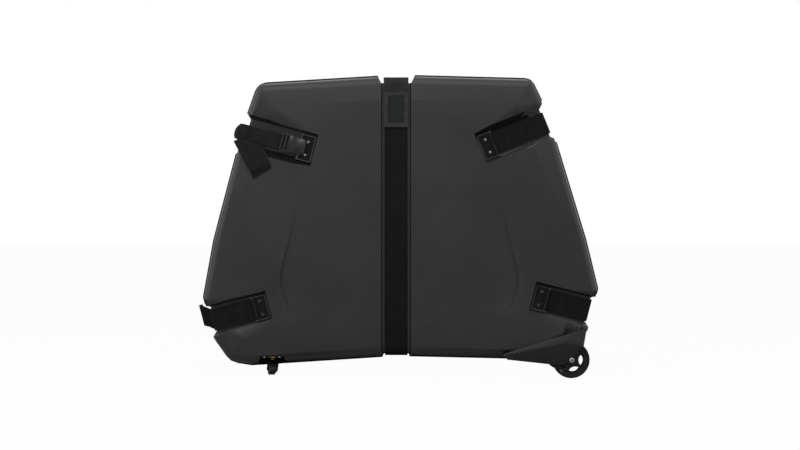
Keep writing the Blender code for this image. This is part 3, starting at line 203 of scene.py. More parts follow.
def plastic(name, colour, roughness, cells, depth, amount=0.4, specular=0.5, edge=1.5):
    """Grained moulded plastic with faint cloudiness, scuffs, and a patchy painted highlight on marked faces,
    by the factor edge.
    """
    finish, tree, bsdf = shader(name, Specular_IOR_Level=specular)
    where = add(tree, "TexCoord").outputs["Object"]
    grain = add(tree, "Group", node_tree=moulded_grain, Vector=where, Cells=cells)
    marks = add(tree, "Group", node_tree=scuffs, Vector=where, Amount=amount)
    darker, lighter = [c * 0.86 for c in colour], [c * 1.16 for c in colour]
    base = tones(tree, between(tree, grain.outputs["Mottle"], 0, 1, 0.3, 0.7), darker, lighter)
    scratched = (*[c * 2.6 for c in colour], 1)
    scuffed_and_highlit = add(tree, "Mix", data_type="RGBA", in0=marks.outputs[0], in6=base, in7=scratched)
    # Faces marked in soften are painted lighter: a painted highlight, broken up in patches by the mottle
    rim = add(tree, "Attribute", attribute_name="painted_highlight").outputs["Fac"]
    patchy = add(tree, "Math", operation="MULTIPLY", in0=rim)
    tree.links.new(between(tree, grain.outputs["Mottle"], 0.6, 1.0, 0.35, 0.6), patchy.inputs[1])
    highlight_colour = (*[c * edge for c in colour], 1)
    whole = add(tree, "Mix", data_type="RGBA", in0=patchy.outputs[0], in6=scuffed_and_highlit.outputs[2], in7=highlight_colour)
    tree.links.new(whole.outputs[2], bsdf.inputs["Base Color"])
    gloss = between(tree, grain.outputs["Mottle"], roughness - 0.04, roughness + 0.05, 0.3, 0.7)
    tree.links.new(gloss, bsdf.inputs["Roughness"])
    bump = add(tree, "Bump", Strength=0.5, Distance=depth, Height=grain.outputs["Height"])
    tree.links.new(bump.outputs[0], bsdf.inputs["Normal"])
    return finish


# Recess of each corner: the point (x, z) where the middle of its strap crosses the rim, the direction
# inwards and how far in it reaches
CORNERS = {
    "top_left": ((-0.4575, 0.7003), (0.9677, -0.2521), 0.226),
    "top_right": ((0.4438, 0.7321), (-0.9279, -0.3728), 0.226),
    "lower_left": ((-0.5510, 0.1559), (0.9670, 0.2547), 0.190),
    "lower_right": ((0.5654, 0.1827), (-0.9678, 0.2519), 0.190),
}
BELT_X = -0.006


def strap_place(corner, spot):
    """How far in from the rim a point is, and how far across its strap."""
    (x, z), (ux, uz), _ = CORNERS[corner]
    across = (spot.z - z) * ux - (spot.x - x) * uz
    return (spot.x - x) * ux + (spot.z - z) * uz, across


# Side of the strap on which the floor of a recess gets painted shade, up or down, the strap's edge, and
# how far in from the rim the painted shade starts
SHADED_FLOOR = {"top_right": 1, "top_left": -1}
STRAP_EDGE = 0.0305
SHADE_START = 0.068

# Distances from the parting plane: the shell's side, a recess's floor and slopes, a wedge, the face
SIDE_LEVEL = 0.095
WALL_LEVEL = 0.128
FLOOR_LEVEL = 0.1375
WEDGE_LEVEL = 0.138
SLOPE_LEVEL = 0.1455
FACE_LEVEL = 0.1475

RECESS_HALF = 0.065
RECESS_MORE = 0.004
CHANNEL_HALF = 0.06
WEDGE_REACH = (0.22, 0.40)
WEDGE_HEIGHT = (0.15, 0.48)


def upward(corner):
    """Whether places across this corner's strap count upwards or downwards."""
    return math.copysign(1, CORNERS[corner][1][0])


def in_recess(corner, spot):
    """Whether a point lies within the recess of this corner."""
    inset, across = strap_place(corner, spot)
    return 0 < inset < CORNERS[corner][2] + RECESS_MORE and abs(across) < RECESS_HALF


def cut_floor(bm, corner):
    """Cuts the floor of a recess along the edge of its strap and across where its painted shade starts."""
    (x, z), (ux, uz), _ = CORNERS[corner]
    across = SHADED_FLOOR[corner] * upward(corner) * STRAP_EDGE
    zone = [f for f in bm.faces if abs(f.normal.y) > 0.5 and in_recess(corner, f.calc_center_median())]
    zone = [f for f in zone if abs(f.calc_center_median().y) < FLOOR_LEVEL]
    for point, way in (
        ((x - uz * across, 0, z + ux * across), (-uz, 0, ux)),
        ((x + ux * SHADE_START, 0, z + uz * SHADE_START), (ux, 0, uz)),
    ):
        parts = zone + list({e for f in zone for e in f.edges}) + list({v for f in zone for v in f.verts})
        cut = bmesh.ops.bisect_plane(bm, geom=parts, dist=0.000001, plane_co=point, plane_no=way)
        zone = [part for part in cut["geom"] if isinstance(part, bmesh.types.BMFace)]


def shaded(face):
    """Whether a face lies in a fold of the shell that little light reaches, and so gets the painted shade.
    """
    spot, normal = face.calc_center_median(), face.normal
    deep, wall = abs(spot.y), abs(normal.y) < 0.93
    if not SIDE_LEVEL < deep < FACE_LEVEL:
        return False
    if abs(spot.x - BELT_X) < CHANNEL_HALF:
        return wall and deep > WALL_LEVEL and abs(normal.x) > 0.3
    beside = WEDGE_REACH[0] < abs(spot.x) < WEDGE_REACH[1]
    if beside and WEDGE_HEIGHT[0] < spot.z < WEDGE_HEIGHT[1] and deep > WEDGE_LEVEL:
        return abs(normal.y) < 0.995 and normal.z < 0.7 * math.hypot(normal.x, normal.z)
    for corner in CORNERS:
        if not in_recess(corner, spot):
            continue
        inset, across = strap_place(corner, spot)
        height = across * upward(corner)
        side = SHADED_FLOOR.get(corner, 0)
        low = deep < FLOOR_LEVEL or side < 0 and wall and deep < SLOPE_LEVEL
        if side * height > STRAP_EDGE and inset > SHADE_START and low:
            return True
        lit = side > 0 and inset < SHADE_START
        if wall and height > 0 and deep > WALL_LEVEL and normal.z < -0.15 and not lit:
            return True
    return False


shell_plastic = plastic(
    "shell_plastic", SHELL_COLOUR,
    roughness=0.46, cells=850.0, depth=0.00012, amount=0.4, specular=SHELL_SHINE,
)
# Darker, duller copy of the shell plastic: painted shade on recess floors and walls, channel walls and wedge
# creases
painted_shade_plastic = plastic(
    "painted_shade_plastic", (0.0055, 0.0055, 0.0056),
    roughness=0.62, cells=850.0, depth=0.00012, amount=0.2, specular=0.03,
)
for end, body, _ in HALVES:
    bm = merged(f"{end}_shell")
    soften(bm, SHELL_RADIUS, SHELL_CREASE, 3)
    for corner in SHADED_FLOOR:
        cut_floor(bm, corner)
    # Faces in folds get the second material, the painted shade
    for face in bm.faces:
        face.material_index = int(shaded(face))
    piece = shown(f"{end}_half_shell", bm, shell_plastic, body, [f"{end}_shell"], 35)
    piece.data.materials.append(painted_shade_plastic)

# Edging. A black rubber section is pushed over the trimmed rim of each half, so that the two
# halves close on rubber. It is a little rounded on its outer edges and duller than the shell.

rubber_edging = plastic(
    "rubber_edging", (0.0030, 0.0030, 0.0031),
    roughness=0.6, cells=1600.0, depth=0.00006, amount=0.2, specular=0.10,
)
for end, body, _ in HALVES:
    bm = merged(f"{end}_edging")
    soften(bm, 0.0007, math.radians(40))
    shown(f"{end}_rim_edging", bm, rubber_edging, body, [f"{end}_edging"])

# Foam. Each half is lined with a pad of charcoal foam, cut to its face and dimpled on the side
# that lies on the bicycle, and a loose sheet of the same foam goes between wheels and frame.
# The pads are cut from one slab with their edges left a little round.

FOAM_STEP = 0.0065
FOAM_SHRINK = 0.0012
DIMPLE_PITCH = 0.034
DIMPLE_DEPTH = 0.0045


def foam_material():
    """Open-cell foam: fine pores, darker where they lie close together."""
    finish, tree, bsdf = shader("open_cell_foam", Roughness=0.95, Specular_IOR_Level=0.2)
    where = add(tree, "TexCoord").outputs["Object"]
    pores = add(tree, "TexVoronoi", Vector=where, Scale=620.0)
    cloud = add(tree, "TexNoise", Vector=where, Scale=24.0, Detail=5.0)
    shade = add(tree, "Math", operation="MULTIPLY", in0=pores.outputs["Distance"], in1=cloud.outputs[0])
    mask = between(tree, shade.outputs[0], 0, 1, 0.05, 0.45)
    base = tones(tree, mask, (0.022, 0.022, 0.023), (0.055, 0.055, 0.057))
    tree.links.new(base, bsdf.inputs["Base Color"])
    bump = add(tree, "Bump", Strength=0.8, Distance=0.0006, Height=pores.outputs["Distance"])
    tree.links.new(bump.outputs[0], bsdf.inputs["Normal"])
    return finish


def foam_pad(name, node, body, faces):
    """Foam pad: the CAD pad drawn in a little, remeshed and dimpled on its open sides."""
    low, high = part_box(node)
    bm = merged(node)
    bm.normal_update()
    for vertex in bm.verts:
        vertex.co -= vertex.normal * FOAM_SHRINK * vertex.calc_shell_factor()
    piece = shown(name, bm, foam, body, [node], 60)
    remesh = piece.modifiers.new("cells", "REMESH")
    remesh.mode = "VOXEL"
    remesh.voxel_size = FOAM_STEP
    remesh.use_smooth_shade = True
    bpy.context.view_layer.update()
    mesh = bpy.data.meshes.new_from_object(piece.evaluated_get(bpy.context.evaluated_depsgraph_get()))
    piece.modifiers.clear()
    piece.data = mesh
    points, normals = np.zeros(len(mesh.vertices) * 3), np.zeros(len(mesh.vertices) * 3)
    mesh.vertices.foreach_get("co", points)
    mesh.vertices.foreach_get("normal", normals)
    spots, facing = points.reshape(-1, 3), normals.reshape(-1, 3)[:, 1]
    turn = 2 * math.pi / DIMPLE_PITCH
    dent = 0.5 + 0.5 * np.cos(turn * spots[:, 0]) * np.cos(turn * spots[:, 2])
    for face in faces:
        level = low.y if face < 0 else high.y
        near = np.clip(1 - np.abs(spots[:, 1] - level) / (2 * DIMPLE_DEPTH), 0, 1)
        spots[:, 1] -= np.where(facing * face > 0.5, face * DIMPLE_DEPTH * dent * near, 0)
    mesh.vertices.foreach_set("co", spots.ravel())
    mesh.update()
    mesh.materials.clear()
    mesh.materials.append(foam)
    return piece


foam = foam_material()
foam_pad("front_foam_pad", "front_foam", "lid", (1,))
foam_pad("rear_foam_pad", "rear_foam", "rear_half", (-1,))
foam_pad("loose_foam_sheet", "middle_foam", "foam_sheet", (-1, 1))

# Corner plates. Black glass-filled nylon mouldings sit at the inner ends of the strap recesses,
# with a raised lip round them and a bar between two ears, whose raised tops and rounded edges carry
# a painted highlight. Each is held by two bright rivets that are set through the shell into a steel
# strip inside; at the lower corners the rivets get a dark copy of the steel, as painted shade.

LIP_RADIUS = 0.0005
RIVET_PLACE = 0.020
RIVET_SPREAD = 0.038
PLATE_TOP = 0.0028
RECESS_FLOOR = 0.1337
RIVET_SEAT = RECESS_FLOOR + PLATE_TOP + 0.0003
STRIP = (0.010, 0.052, 0.0015)
STRIP_LEVEL = RECESS_FLOOR - 0.00505


def corner_point(corner, inset, out, across, side=-1):
    """Point measured in from the rim, out from the parting plane and across the strap."""
    (x, z), (ux, uz), _ = CORNERS[corner]
    return Vector((x + ux * inset - uz * across, side * out, z + uz * inset + ux * across))


def turned(bm, profile, foot, axis, steps=24):
    """Spins a profile of (radius, height) points round an axis and welds it shut."""
    turn = Vector((0, 0, 1)).rotation_difference(Vector(axis)).to_matrix().to_4x4()
    place = Matrix.Translation(foot) @ turn
    verts = [bm.verts.new((radius, 0, height)) for radius, height in profile]
    edges = [bm.edges.new(pair) for pair in zip(verts, verts[1:])]
    bmesh.ops.spin(
        bm, geom=verts + edges, cent=(0, 0, 0), axis=(0, 0, 1), angle=2 * math.pi, steps=steps,
        use_merge=True,
    )
    made, todo = set(verts), list(verts)
    while todo:
        found = {v for e in todo.pop().link_edges for v in e.verts} - made
        made |= found
        todo += found
    bmesh.ops.remove_doubles(bm, verts=list(made), dist=0.00001)
    made = [v for v in made if v.is_valid]
    bmesh.ops.recalc_face_normals(bm, faces=list({f for v in made for f in v.link_faces}))
    bmesh.ops.transform(bm, matrix=place, verts=made)


def slab(bm, size, matrix, radius=0.0):
    """Block of a size, placed by a matrix, with its edges rounded."""
    made = bmesh.ops.create_cube(bm, size=1.0)["verts"]
    bmesh.ops.scale(bm, vec=size, verts=made)
    bmesh.ops.transform(bm, matrix=matrix, verts=made)
    if radius:
        edges = list({e for v in made for e in v.link_edges})
        bmesh.ops.bevel(
            bm, geom=edges, offset=radius, segments=2, profile=0.5, affect="EDGES", material=-1
        )


def metal(name, colour, roughness, brushed=60.0):
    """Bare metal with fine brushing and tarnish."""
    finish, tree, bsdf = shader(name, Metallic=1.0)
    where = add(tree, "TexCoord").outputs["Object"]
    lines = add(tree, "Mapping", Vector=where, Scale=(brushed, brushed * 12, brushed))
    brush = add(tree, "TexNoise", Vector=lines.outputs[0], Scale=14.0, Detail=3.0)
    tarnish = add(tree, "TexNoise", Vector=where, Scale=160.0, Detail=4.0)
    base = tones(tree, between(tree, tarnish.outputs[0], 0, 1, 0.35, 0.7), [c * 0.8 for c in colour], colour)
    tree.links.new(base, bsdf.inputs["Base Color"])
    gloss = between(tree, brush.outputs[0], roughness - 0.06, roughness + 0.12, 0.3, 0.7)
    tree.links.new(gloss, bsdf.inputs["Roughness"])
    bump = add(tree, "Bump", Strength=0.25, Distance=0.0001, Height=brush.outputs[0])
    tree.links.new(bump.outputs[0], bsdf.inputs["Normal"])
    return finish


# edge=15.0 paints a strong highlight on the plates' raised and rounded faces
nylon_moulding = plastic(
    "nylon_moulding", (0.0040, 0.0040, 0.0041),
    roughness=0.36, cells=1900.0, depth=0.00005, amount=0.5, specular=0.10, edge=15.0,
)
bright_steel = metal("bright_steel", (0.36, 0.35, 0.34), roughness=0.24)
RIVET = (
    (0.0, 0.0002), (0.0011, 0.0002), (0.0012, 0.0011), (0.0017, 0.0015), (0.0024, 0.0012),
    (0.0031, 0.0004), (0.0032, 0.0), (0.0016, 0.0), (0.0016, -0.0095), (0.0, -0.0095),
)
RIVET_RING = ((0.0031, 0.0), (0.0035, 0.0), (0.0035, 0.0005), (0.0031, 0.0005), (0.0031, 0.0))
# Dark copy of the steel for the rivets of the lower corners: painted shade
painted_shade_steel = metal("rivet_painted_shade_steel", (0.030, 0.030, 0.031), roughness=0.30)
for corner, (_, inward, reach) in CORNERS.items():
    rivet_steel = bright_steel if corner[:3] == "top" else painted_shade_steel
    for end, body, side in HALVES:
        bm = merged(f"plate_{corner}_{end}")
        soften(bm, LIP_RADIUS, math.radians(35))
        scuffed_and_highlit = bm.faces.layers.float["painted_highlight"]
        # Raised tops of lip, ears and bar are marked for the painted highlight
        for raised in bm.faces:
            high = abs(raised.calc_center_median().y) > RECESS_FLOOR + PLATE_TOP + LIP_RADIUS
            if high and abs(raised.normal.y) > 0.7:
                raised[scuffed_and_highlit] = 1.0
        plate = f"plate_{corner}_{end}"
        shown(f"{plate}_moulding", bm, nylon_moulding, body, [plate])
        bm, rings = bmesh.new(), bmesh.new()
        out = (0, side, 0)
        for across in (-RIVET_SPREAD / 2, RIVET_SPREAD / 2):
            foot = corner_point(corner, reach - RIVET_PLACE, RIVET_SEAT, across, side)
            turned(bm, RIVET[::-1], foot, out)
            turned(rings, RIVET_RING, foot, out)
        middle = corner_point(corner, reach - RIVET_PLACE, STRIP_LEVEL, 0, side)
        turn = Vector((1, 0, 0)).rotation_difference(Vector((inward[0], 0, inward[1]))).to_matrix().to_4x4()
        size = (STRIP[0], STRIP[2], STRIP[1])
        slab(bm, size, Matrix.Translation(middle) @ turn, 0.0004)
        shown(f"rivets_{corner}_{end}_set", bm, rivet_steel, body, [f"rivets_{corner}_{end}"])
        shown(f"rivets_{corner}_{end}_rings", rings, bright_steel, body)

# Straps. Heavy black nylon webbing, 62 mm wide and 2.4 mm thick, woven in fine ribs with firm
# round selvedges. On each closed corner a strap from the rear plate comes round the rim, the
# inner front strap laps over it, and the outer strap loops round the bar of the front plate.

SELVEDGE = 0.0009
RIB = 0.0017
BELT_MIDDLE = 0.45
FOLD = 0.0372
THREAD_RADIUS = 0.0004


def weave_effect():
    """Ribs of a woven tape: rows of short raised threads, every other row half a thread on."""
    group, start, end = effect("woven_ribs", {"Vector": None, "Rib": RIB}, ["Height", "Shade"])
    row = add(group, "VectorMath", operation="DIVIDE", in0=start.outputs["Vector"])
    pitch = add(group, "CombineXYZ", X=start.outputs["Rib"], Y=start.outputs["Rib"], Z=1.0)
    group.links.new(pitch.outputs[0], row.inputs[1])
    cells = add(
        group, "TexBrick", offset=0.5, Vector=row.outputs[0], Scale=1.0,
        in5=0.09, in6=0.9, in8=1.25, in9=0.62,
    )
    lay = add(group, "SeparateXYZ", Vector=row.outputs[0])
    turn = add(group, "Math", operation="MULTIPLY", in0=lay.outputs["Y"], in1=2 * math.pi / 0.62)
    wave = add(group, "Math", operation="SINE", in0=turn.outputs[0])
    round_row = add(group, "MapRange", Value=wave.outputs[0], in1=-1.0, in2=1.0, in3=0.3, in4=1.0)
    gap = add(group, "Math", operation="SUBTRACT", in0=1.0, in1=cells.outputs["Fac"])
    height = add(group, "Math", operation="MULTIPLY", in0=gap.outputs[0], in1=round_row.outputs[0])
    dusty = add(group, "TexNoise", Vector=start.outputs["Vector"], Scale=38.0, Detail=4.0)
    group.links.new(height.outputs[0], end.inputs["Height"])
    group.links.new(dusty.outputs[0], end.inputs["Shade"])
    return group


woven_ribs = weave_effect()


def woven(name, colour, rib, depth, roughness=0.78, edge=2.2):
    """Woven nylon, read from the piece's own UV map in metres, with a painted highlight on marked faces such
    as the selvedges.
    """
    finish, tree, bsdf = shader(name, Specular_IOR_Level=0.06)
    where = add(tree, "UVMap", uv_map="cloth").outputs[0]
    weave = add(tree, "Group", node_tree=woven_ribs, Vector=where, Rib=rib)
    dark, light = [c * 0.55 for c in colour], [c * 1.35 for c in colour]
    threads = tones(tree, between(tree, weave.outputs["Height"], 0, 1), dark, light)
    dust = between(tree, weave.outputs["Shade"], 0.85, 1.2, 0.3, 0.75)
    # Marked faces, such as the selvedges, are painted lighter by the factor edge: a painted highlight
    rim = add(tree, "Attribute", attribute_name="painted_highlight").outputs["Fac"]
    highlit_threads = add(tree, "Mix", data_type="RGBA", in0=rim, in6=threads, in7=(*[c * edge for c in colour], 1))
    base = add(tree, "Mix", data_type="RGBA", blend_type="MULTIPLY", in0=1.0, in6=highlit_threads.outputs[2])
    tree.links.new(dust, base.inputs[7])
    tree.links.new(base.outputs[2], bsdf.inputs["Base Color"])
    gloss = between(tree, weave.outputs["Height"], roughness + 0.12, roughness - 0.05)
    tree.links.new(gloss, bsdf.inputs["Roughness"])
    bump = add(tree, "Bump", Strength=0.7, Distance=depth, Height=weave.outputs["Height"])
    tree.links.new(bump.outputs[0], bsdf.inputs["Normal"])
    return finish


def lay_cloth(bm, across, along):
    """UV map in metres, from a point's places across and along the cloth."""
    layer = bm.loops.layers.uv.new("cloth")
    for face in bm.faces:
        for loop in face.loops:
            loop[layer].uv = (across(loop.vert.co), along(loop.vert.co))


def corner_cloth(bm, corner):
    """Lays the cloth along the strap of a corner."""
    (x, z), (ux, uz), _ = CORNERS[corner]
    lay_cloth(
        bm,
        lambda p: (p.z - z) * ux - (p.x - x) * uz,
        lambda p: (p.x - x) * ux + (p.z - z) * uz + abs(p.y),
    )


def belt_cloth(bm):
    """Lays the cloth along the belt."""
    lay_cloth(bm, lambda p: p.x, lambda p: abs(p.z - BELT_MIDDLE) + abs(p.y))


def finer(bm, longest):
    """Cuts long edges in half until none is longer."""
    for _ in range(6):
        edges = [e for e in bm.edges if e.calc_length() > longest]
        if not edges:
            return
        bmesh.ops.subdivide_edges(bm, edges=edges, cuts=1)
        bmesh.ops.triangulate(bm, faces=[f for f in bm.faces if len(f.verts) > 4])


def slacken(bm, amount, size, seed):
    """Moves the cloth's points a little, as worn webbing is never quite flat."""
    shift = Vector((seed, seed * 0.7, 0.3))
    bm.normal_update()
    moves = [v.normal * amount * (noise.noise(v.co / size + shift) - 0.4) for v in bm.verts]
    for vertex, move in zip(bm.verts, moves):
        vertex.co += move


def stitches(bm, start, end, pitch=0.0042, radius=THREAD_RADIUS):
    """Row of lockstitches between two points, half sunk in the cloth."""
    start, end = Vector(start), Vector(end)
    along = end - start
    count = max(1, round(along.length / pitch))
    turn = Vector((1, 0, 0)).rotation_difference(along).to_matrix().to_4x4()
    for k in range(count):
        made = bmesh.ops.create_icosphere(bm, subdivisions=1, radius=radius)["verts"]
        bmesh.ops.scale(bm, vec=(0.40 * pitch / radius, 1.0, 1.0), verts=made)
        place = Matrix.Translation(start + along * (k + 0.5) / count) @ turn
        bmesh.ops.transform(bm, matrix=place, verts=made)


# edge=4.0 paints a highlight on the marked faces of the straps: selvedges and folds
strap_webbing = woven("strap_webbing", (0.0075, 0.0075, 0.0070), rib=RIB, depth=0.0005, edge=4.0)
flap_webbing = woven("flap_webbing", (0.0125, 0.0128, 0.0128), rib=RIB, depth=0.0005)
thread = plastic(
    "bonded_thread", (0.018, 0.018, 0.0175),
    roughness=0.6, cells=3000.0, depth=0.00004, amount=0.0, specular=0.2,
)


def strap(node, body, corner, seed):
    """Strap of a corner, with a painted highlight on the fold by its plate."""
    bm = merged(node)
    soften(bm, SELVEDGE, math.radians(60), 3)
    finer(bm, 0.012)
    scuffed_and_highlit = bm.faces.layers.float["painted_highlight"]
    # The fold round the plate's bar is marked for the painted highlight
    for fold in bm.faces:
        if strap_place(corner, fold.calc_center_median())[0] > CORNERS[corner][2] - FOLD:
            fold[scuffed_and_highlit] = 1.0
    slacken(bm, 0.0004, 0.02, seed)
    corner_cloth(bm, corner)
    return shown(f"{node}_webbing", bm, strap_webbing, body, [node], 50)


def stitch_rows(seam, piece, corner, insets, half):
    """Rows of stitches across a strap, laid on its outer face at some insets."""
    skin = BVHTree.FromObject(piece, bpy.context.evaluated_depsgraph_get())
    for inset in insets:
        ends = []
        for across in (-half, half):
            start = corner_point(corner, inset, 0.16, across)
            ends.append(skin.ray_cast(start, (0, 1, 0))[0])
        stitches(seam, ends[0], ends[1])


STITCH_ROWS = (0.050, 0.0545, 0.075, 0.0795)
STITCH_HALF = 0.027
for seed, corner in enumerate(CORNERS):
    strap(f"strap_{corner}_rear", "rear_half", corner, seed)
    if corner != "top_left":
        strap(f"strap_{corner}_inner", "lid", corner, seed + 5)
        outer = strap(f"strap_{corner}_outer", f"flap_{corner}", corner, seed + 9)
        seam = bmesh.new()
        reach = CORNERS[corner][2]
        stitch_rows(seam, outer, corner, [reach - row for row in STITCH_ROWS], STITCH_HALF)
        shown(f"strap_{corner}_stitching", seam, thread, f"flap_{corner}")

# Belt. A wider webbing of the same weave runs round the middle in a channel of the shells. It
# spans the hand well at the top, where the case is picked up, and its halves lap under the case.

for end, body, side in HALVES:
    bm = merged(f"belt_{end}")
    soften(bm, SELVEDGE, math.radians(60), 3)
    finer(bm, 0.016)
    slacken(bm, 0.0004, 0.03, 3.0 + side)
    belt_cloth(bm)
    shown(f"belt_{end}_webbing", bm, strap_webbing, body, [f"belt_{end}"], 50)

# Carrying grip. A padded sleeve of grey spacer knit, wrapped round the belt over the hand well
# and bound at its ends, swells a little between its seams.

grip_knit = woven("grip_knit", (0.022, 0.022, 0.0222), rib=0.0026, depth=0.0008)
bm = merged("grip_sleeve")
soften(bm, 0.0013, math.radians(50), 3)
finer(bm, 0.010)
slacken(bm, 0.0008, 0.014, 1.0)
belt_cloth(bm)
grip = shown("carrying_grip", bm, grip_knit, "lid", ["grip_sleeve"], 60)

# Label pocket. A flat nylon pocket sewn on the belt under the grip, bound with a lighter tape,
# with a clear vinyl window over a plain dark card. Its binding is stitched all round.

GLASS = (0.039, 0.0004, 0.076)
GLASS_Y = -0.1434
BINDING = 0.0105
BINDING_PROUD = 0.0008
BINDING_TRIM = 0.0004
BINDING_END = 0.003
BINDING_PITCH = 0.0036


def vinyl_window():
    """Dark card seen through clear vinyl, which waves a little."""
    finish, tree, bsdf = shader(
        "card_under_vinyl", Roughness=0.5, Specular_IOR_Level=0.1, Coat_Weight=0.06, Coat_Roughness=0.1
    )
    where = add(tree, "TexCoord").outputs["Object"]
    fibres = add(tree, "TexNoise", Vector=where, Scale=420.0, Detail=5.0)
    mask = between(tree, fibres.outputs[0], 0, 1, 0.3, 0.7)
    base = tones(tree, mask, (0.006, 0.007, 0.007), (0.010, 0.011, 0.011))
    tree.links.new(base, bsdf.inputs["Base Color"])
    waves = add(tree, "TexNoise", Vector=where, Scale=32.0, Detail=1.0)
    bump = add(tree, "Bump", Strength=0.4, Distance=0.002, Height=waves.outputs[0])
    tree.links.new(bump.outputs[0], bsdf.inputs["Normal"])
    return finish


pocket_low, pocket_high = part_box("label_pocket")
pocket_middle = (pocket_low + pocket_high) / 2
bm = merged("label_pocket")
soften(bm, 0.0006, math.radians(50))
belt_cloth(bm)
pocket = shown("label_pocket_cloth", bm, strap_webbing, "lid", ["label_pocket"])
bm = bmesh.new()
slab(bm, GLASS, Matrix.Translation((pocket_middle.x, GLASS_Y, pocket_middle.z)), 0.00015)
window = shown("label_pocket_window", bm, vinyl_window(), "lid")

binding_tape = woven("binding_tape", (0.034, 0.034, 0.033), rib=0.0011, depth=0.0004)
wide, tall = pocket_high.x - pocket_low.x, pocket_high.z - pocket_low.z
face = pocket_low.y - BINDING_PROUD / 2
bm = bmesh.new()
seam = bmesh.new()
upright = (BINDING, BINDING_PROUD, tall - BINDING_TRIM)
level = (wide - 2 * BINDING, BINDING_PROUD, BINDING)
for size, shift, reach in (
    (upright, Vector(((wide - BINDING) / 2, 0, 0)), Vector((0, 0, tall / 2 - BINDING_END))),
    (level, Vector((0, 0, (tall - BINDING) / 2)), Vector((wide / 2 - BINDING, 0, 0))),
):
    for side in (-1, 1):
        middle = Vector((pocket_middle.x, face, pocket_middle.z)) + side * shift
        slab(bm, size, Matrix.Translation(middle))
        edge = middle + Vector((0, -BINDING_PROUD / 2, 0))
        stitches(seam, edge - reach, edge + reach, BINDING_PITCH)
soften(bm, 0.00035, math.radians(50))
belt_cloth(bm)
binding = shown("label_pocket_binding", bm, binding_tape, "lid")
pocket_seam = shown("label_pocket_stitching", seam, thread, "lid")

# Buckle. A side-release buckle of black acetal closes the open top left corner: the socket
# hangs on the bar of the plate, and the plug is set in the slack webbing, which goes through
# its ladder of bars.

BUCKLE_HALF = 0.025
BUCKLE_MIDDLE = 0.1426
FLAP_FACE = 0.1500
SOCKET_BODY = (0.166, 0.202)
PLUG_BODY = (0.1485, 0.1655)
DOME = 0.0034
WAIST = 0.13
RIBS = 0.0007
RIB_WAVES = 6
TAPE_BULGE_START = 0.012
TAPE_HALF = 0.022
TAPE_ABOVE = 0.002
TAPE_BELOW = 0.006
TAPE_DRAWN = 0.85
TAPE_BEND = (0.035, 0.138)


def mould(bm, body, waist, ribs):
    """Domes the outer face of a buckle half, narrows its waist and raises grip ribs on it."""
    start, end = body
    for vertex in bm.verts:
        inset, across = strap_place("top_left", vertex.co)
        share = (inset - start) / (end - start)
        if not 0 < share < 1:
            continue
        bell = math.sin(math.pi * share)
        drop = DOME * min(abs(across) / BUCKLE_HALF, 1) ** 2.5 * bell
        wave = max(0.0, math.sin(RIB_WAVES * math.pi * share))
        rib = ribs * wave * (abs(across) < 0.8 * BUCKLE_HALF)
        if -vertex.co.y > BUCKLE_MIDDLE:
            vertex.co.y += drop - rib
        new = across * (1 - waist * bell)
        vertex.co += corner_point("top_left", 0, 0, new) - corner_point("top_left", 0, 0, across)


# edge=9.0 paints a highlight on the buckle's rounded edges
acetal = plastic(
    "acetal", (0.0050, 0.0050, 0.0051),
    roughness=0.27, cells=2600.0, depth=0.00003, amount=0.3, specular=0.36, edge=9.0,
)
for node, body, place, waist, ribs in (
    ("buckle_socket", "lid", SOCKET_BODY, WAIST, 0.0), ("buckle_plug", "plug", PLUG_BODY, 0.0, RIBS)
):
    bm = merged(node)
    soften(bm, 0.0009, math.radians(35), 3)
    finer(bm, 0.0022)
    mould(bm, place, waist, ribs)
    shown(f"{node}_moulding", bm, acetal, body, [node], 50)


def round_bulge(bm):
    """Draws in the upper and lower corners of the tape where it bulges off the side of the case."""
    for vertex in bm.verts:
        inset, across = strap_place("top_left", vertex.co)
        if inset < TAPE_BULGE_START:
            high = min(max(across + TAPE_ABOVE, -across - TAPE_BELOW, 0) / TAPE_HALF, 1)
            keep = math.sqrt(1 - TAPE_DRAWN * high ** 2.2)
            new = TAPE_BULGE_START + (inset - TAPE_BULGE_START) * keep
            vertex.co += corner_point("top_left", new, 0, 0) - corner_point("top_left", inset, 0, 0)


bm = merged("buckle_webbing")
soften(bm, SELVEDGE, math.radians(60), 3)
finer(bm, 0.005)
round_bulge(bm)
slacken(bm, 0.0006, 0.016, 4.0)
corner_cloth(bm, "top_left")
tape = shown("buckle_webbing_tape", bm, flap_webbing, None, ["buckle_webbing"], 50)
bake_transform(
    tape, "lid", "plug",
    start=corner_point("top_left", TAPE_BEND[0], FLAP_FACE, 0),
    end=corner_point("top_left", TAPE_BEND[1], FLAP_FACE, 0),
)

# Cover flap. A wide webbing flap that closes over the buckle hangs open over the face of the
# case. Its free end is turned back and stitched down as a hem.

HEM = ((0.1155, -0.0649), (0.1240, -0.0774), (0.0829, -0.1198), (0.0670, -0.1023))
HEM_PROUD = 0.0014
HEM_SEAMS = (0.12, 0.22)
HEM_MARGIN = 0.04
bm = merged("cover_flap")
soften(bm, 0.0011, math.radians(50), 3)
finer(bm, 0.008)
slacken(bm, 0.0005, 0.02, 7.0)
corner_cloth(bm, "top_left")
flap = shown("cover_flap_cloth", bm, flap_webbing, "lid", ["cover_flap"], 50)
bm = bmesh.new()
rows = [
    [bm.verts.new(corner_point("top_left", inset, out, across)) for inset, across in HEM]
    for out in (FLAP_FACE - HEM_PROUD, FLAP_FACE + HEM_PROUD)
]
for a, b in ((0, 1), (1, 2), (2, 3), (3, 0)):
    bm.faces.new((rows[0][a], rows[0][b], rows[1][b], rows[1][a]))
bm.faces.new(rows[1])
bm.faces.new(rows[0])
bmesh.ops.recalc_face_normals(bm, faces=bm.faces)
soften(bm, 0.0006, math.radians(50), 3)
finer(bm, 0.006)
slacken(bm, 0.0004, 0.015, 2.0)
corner_cloth(bm, "top_left")
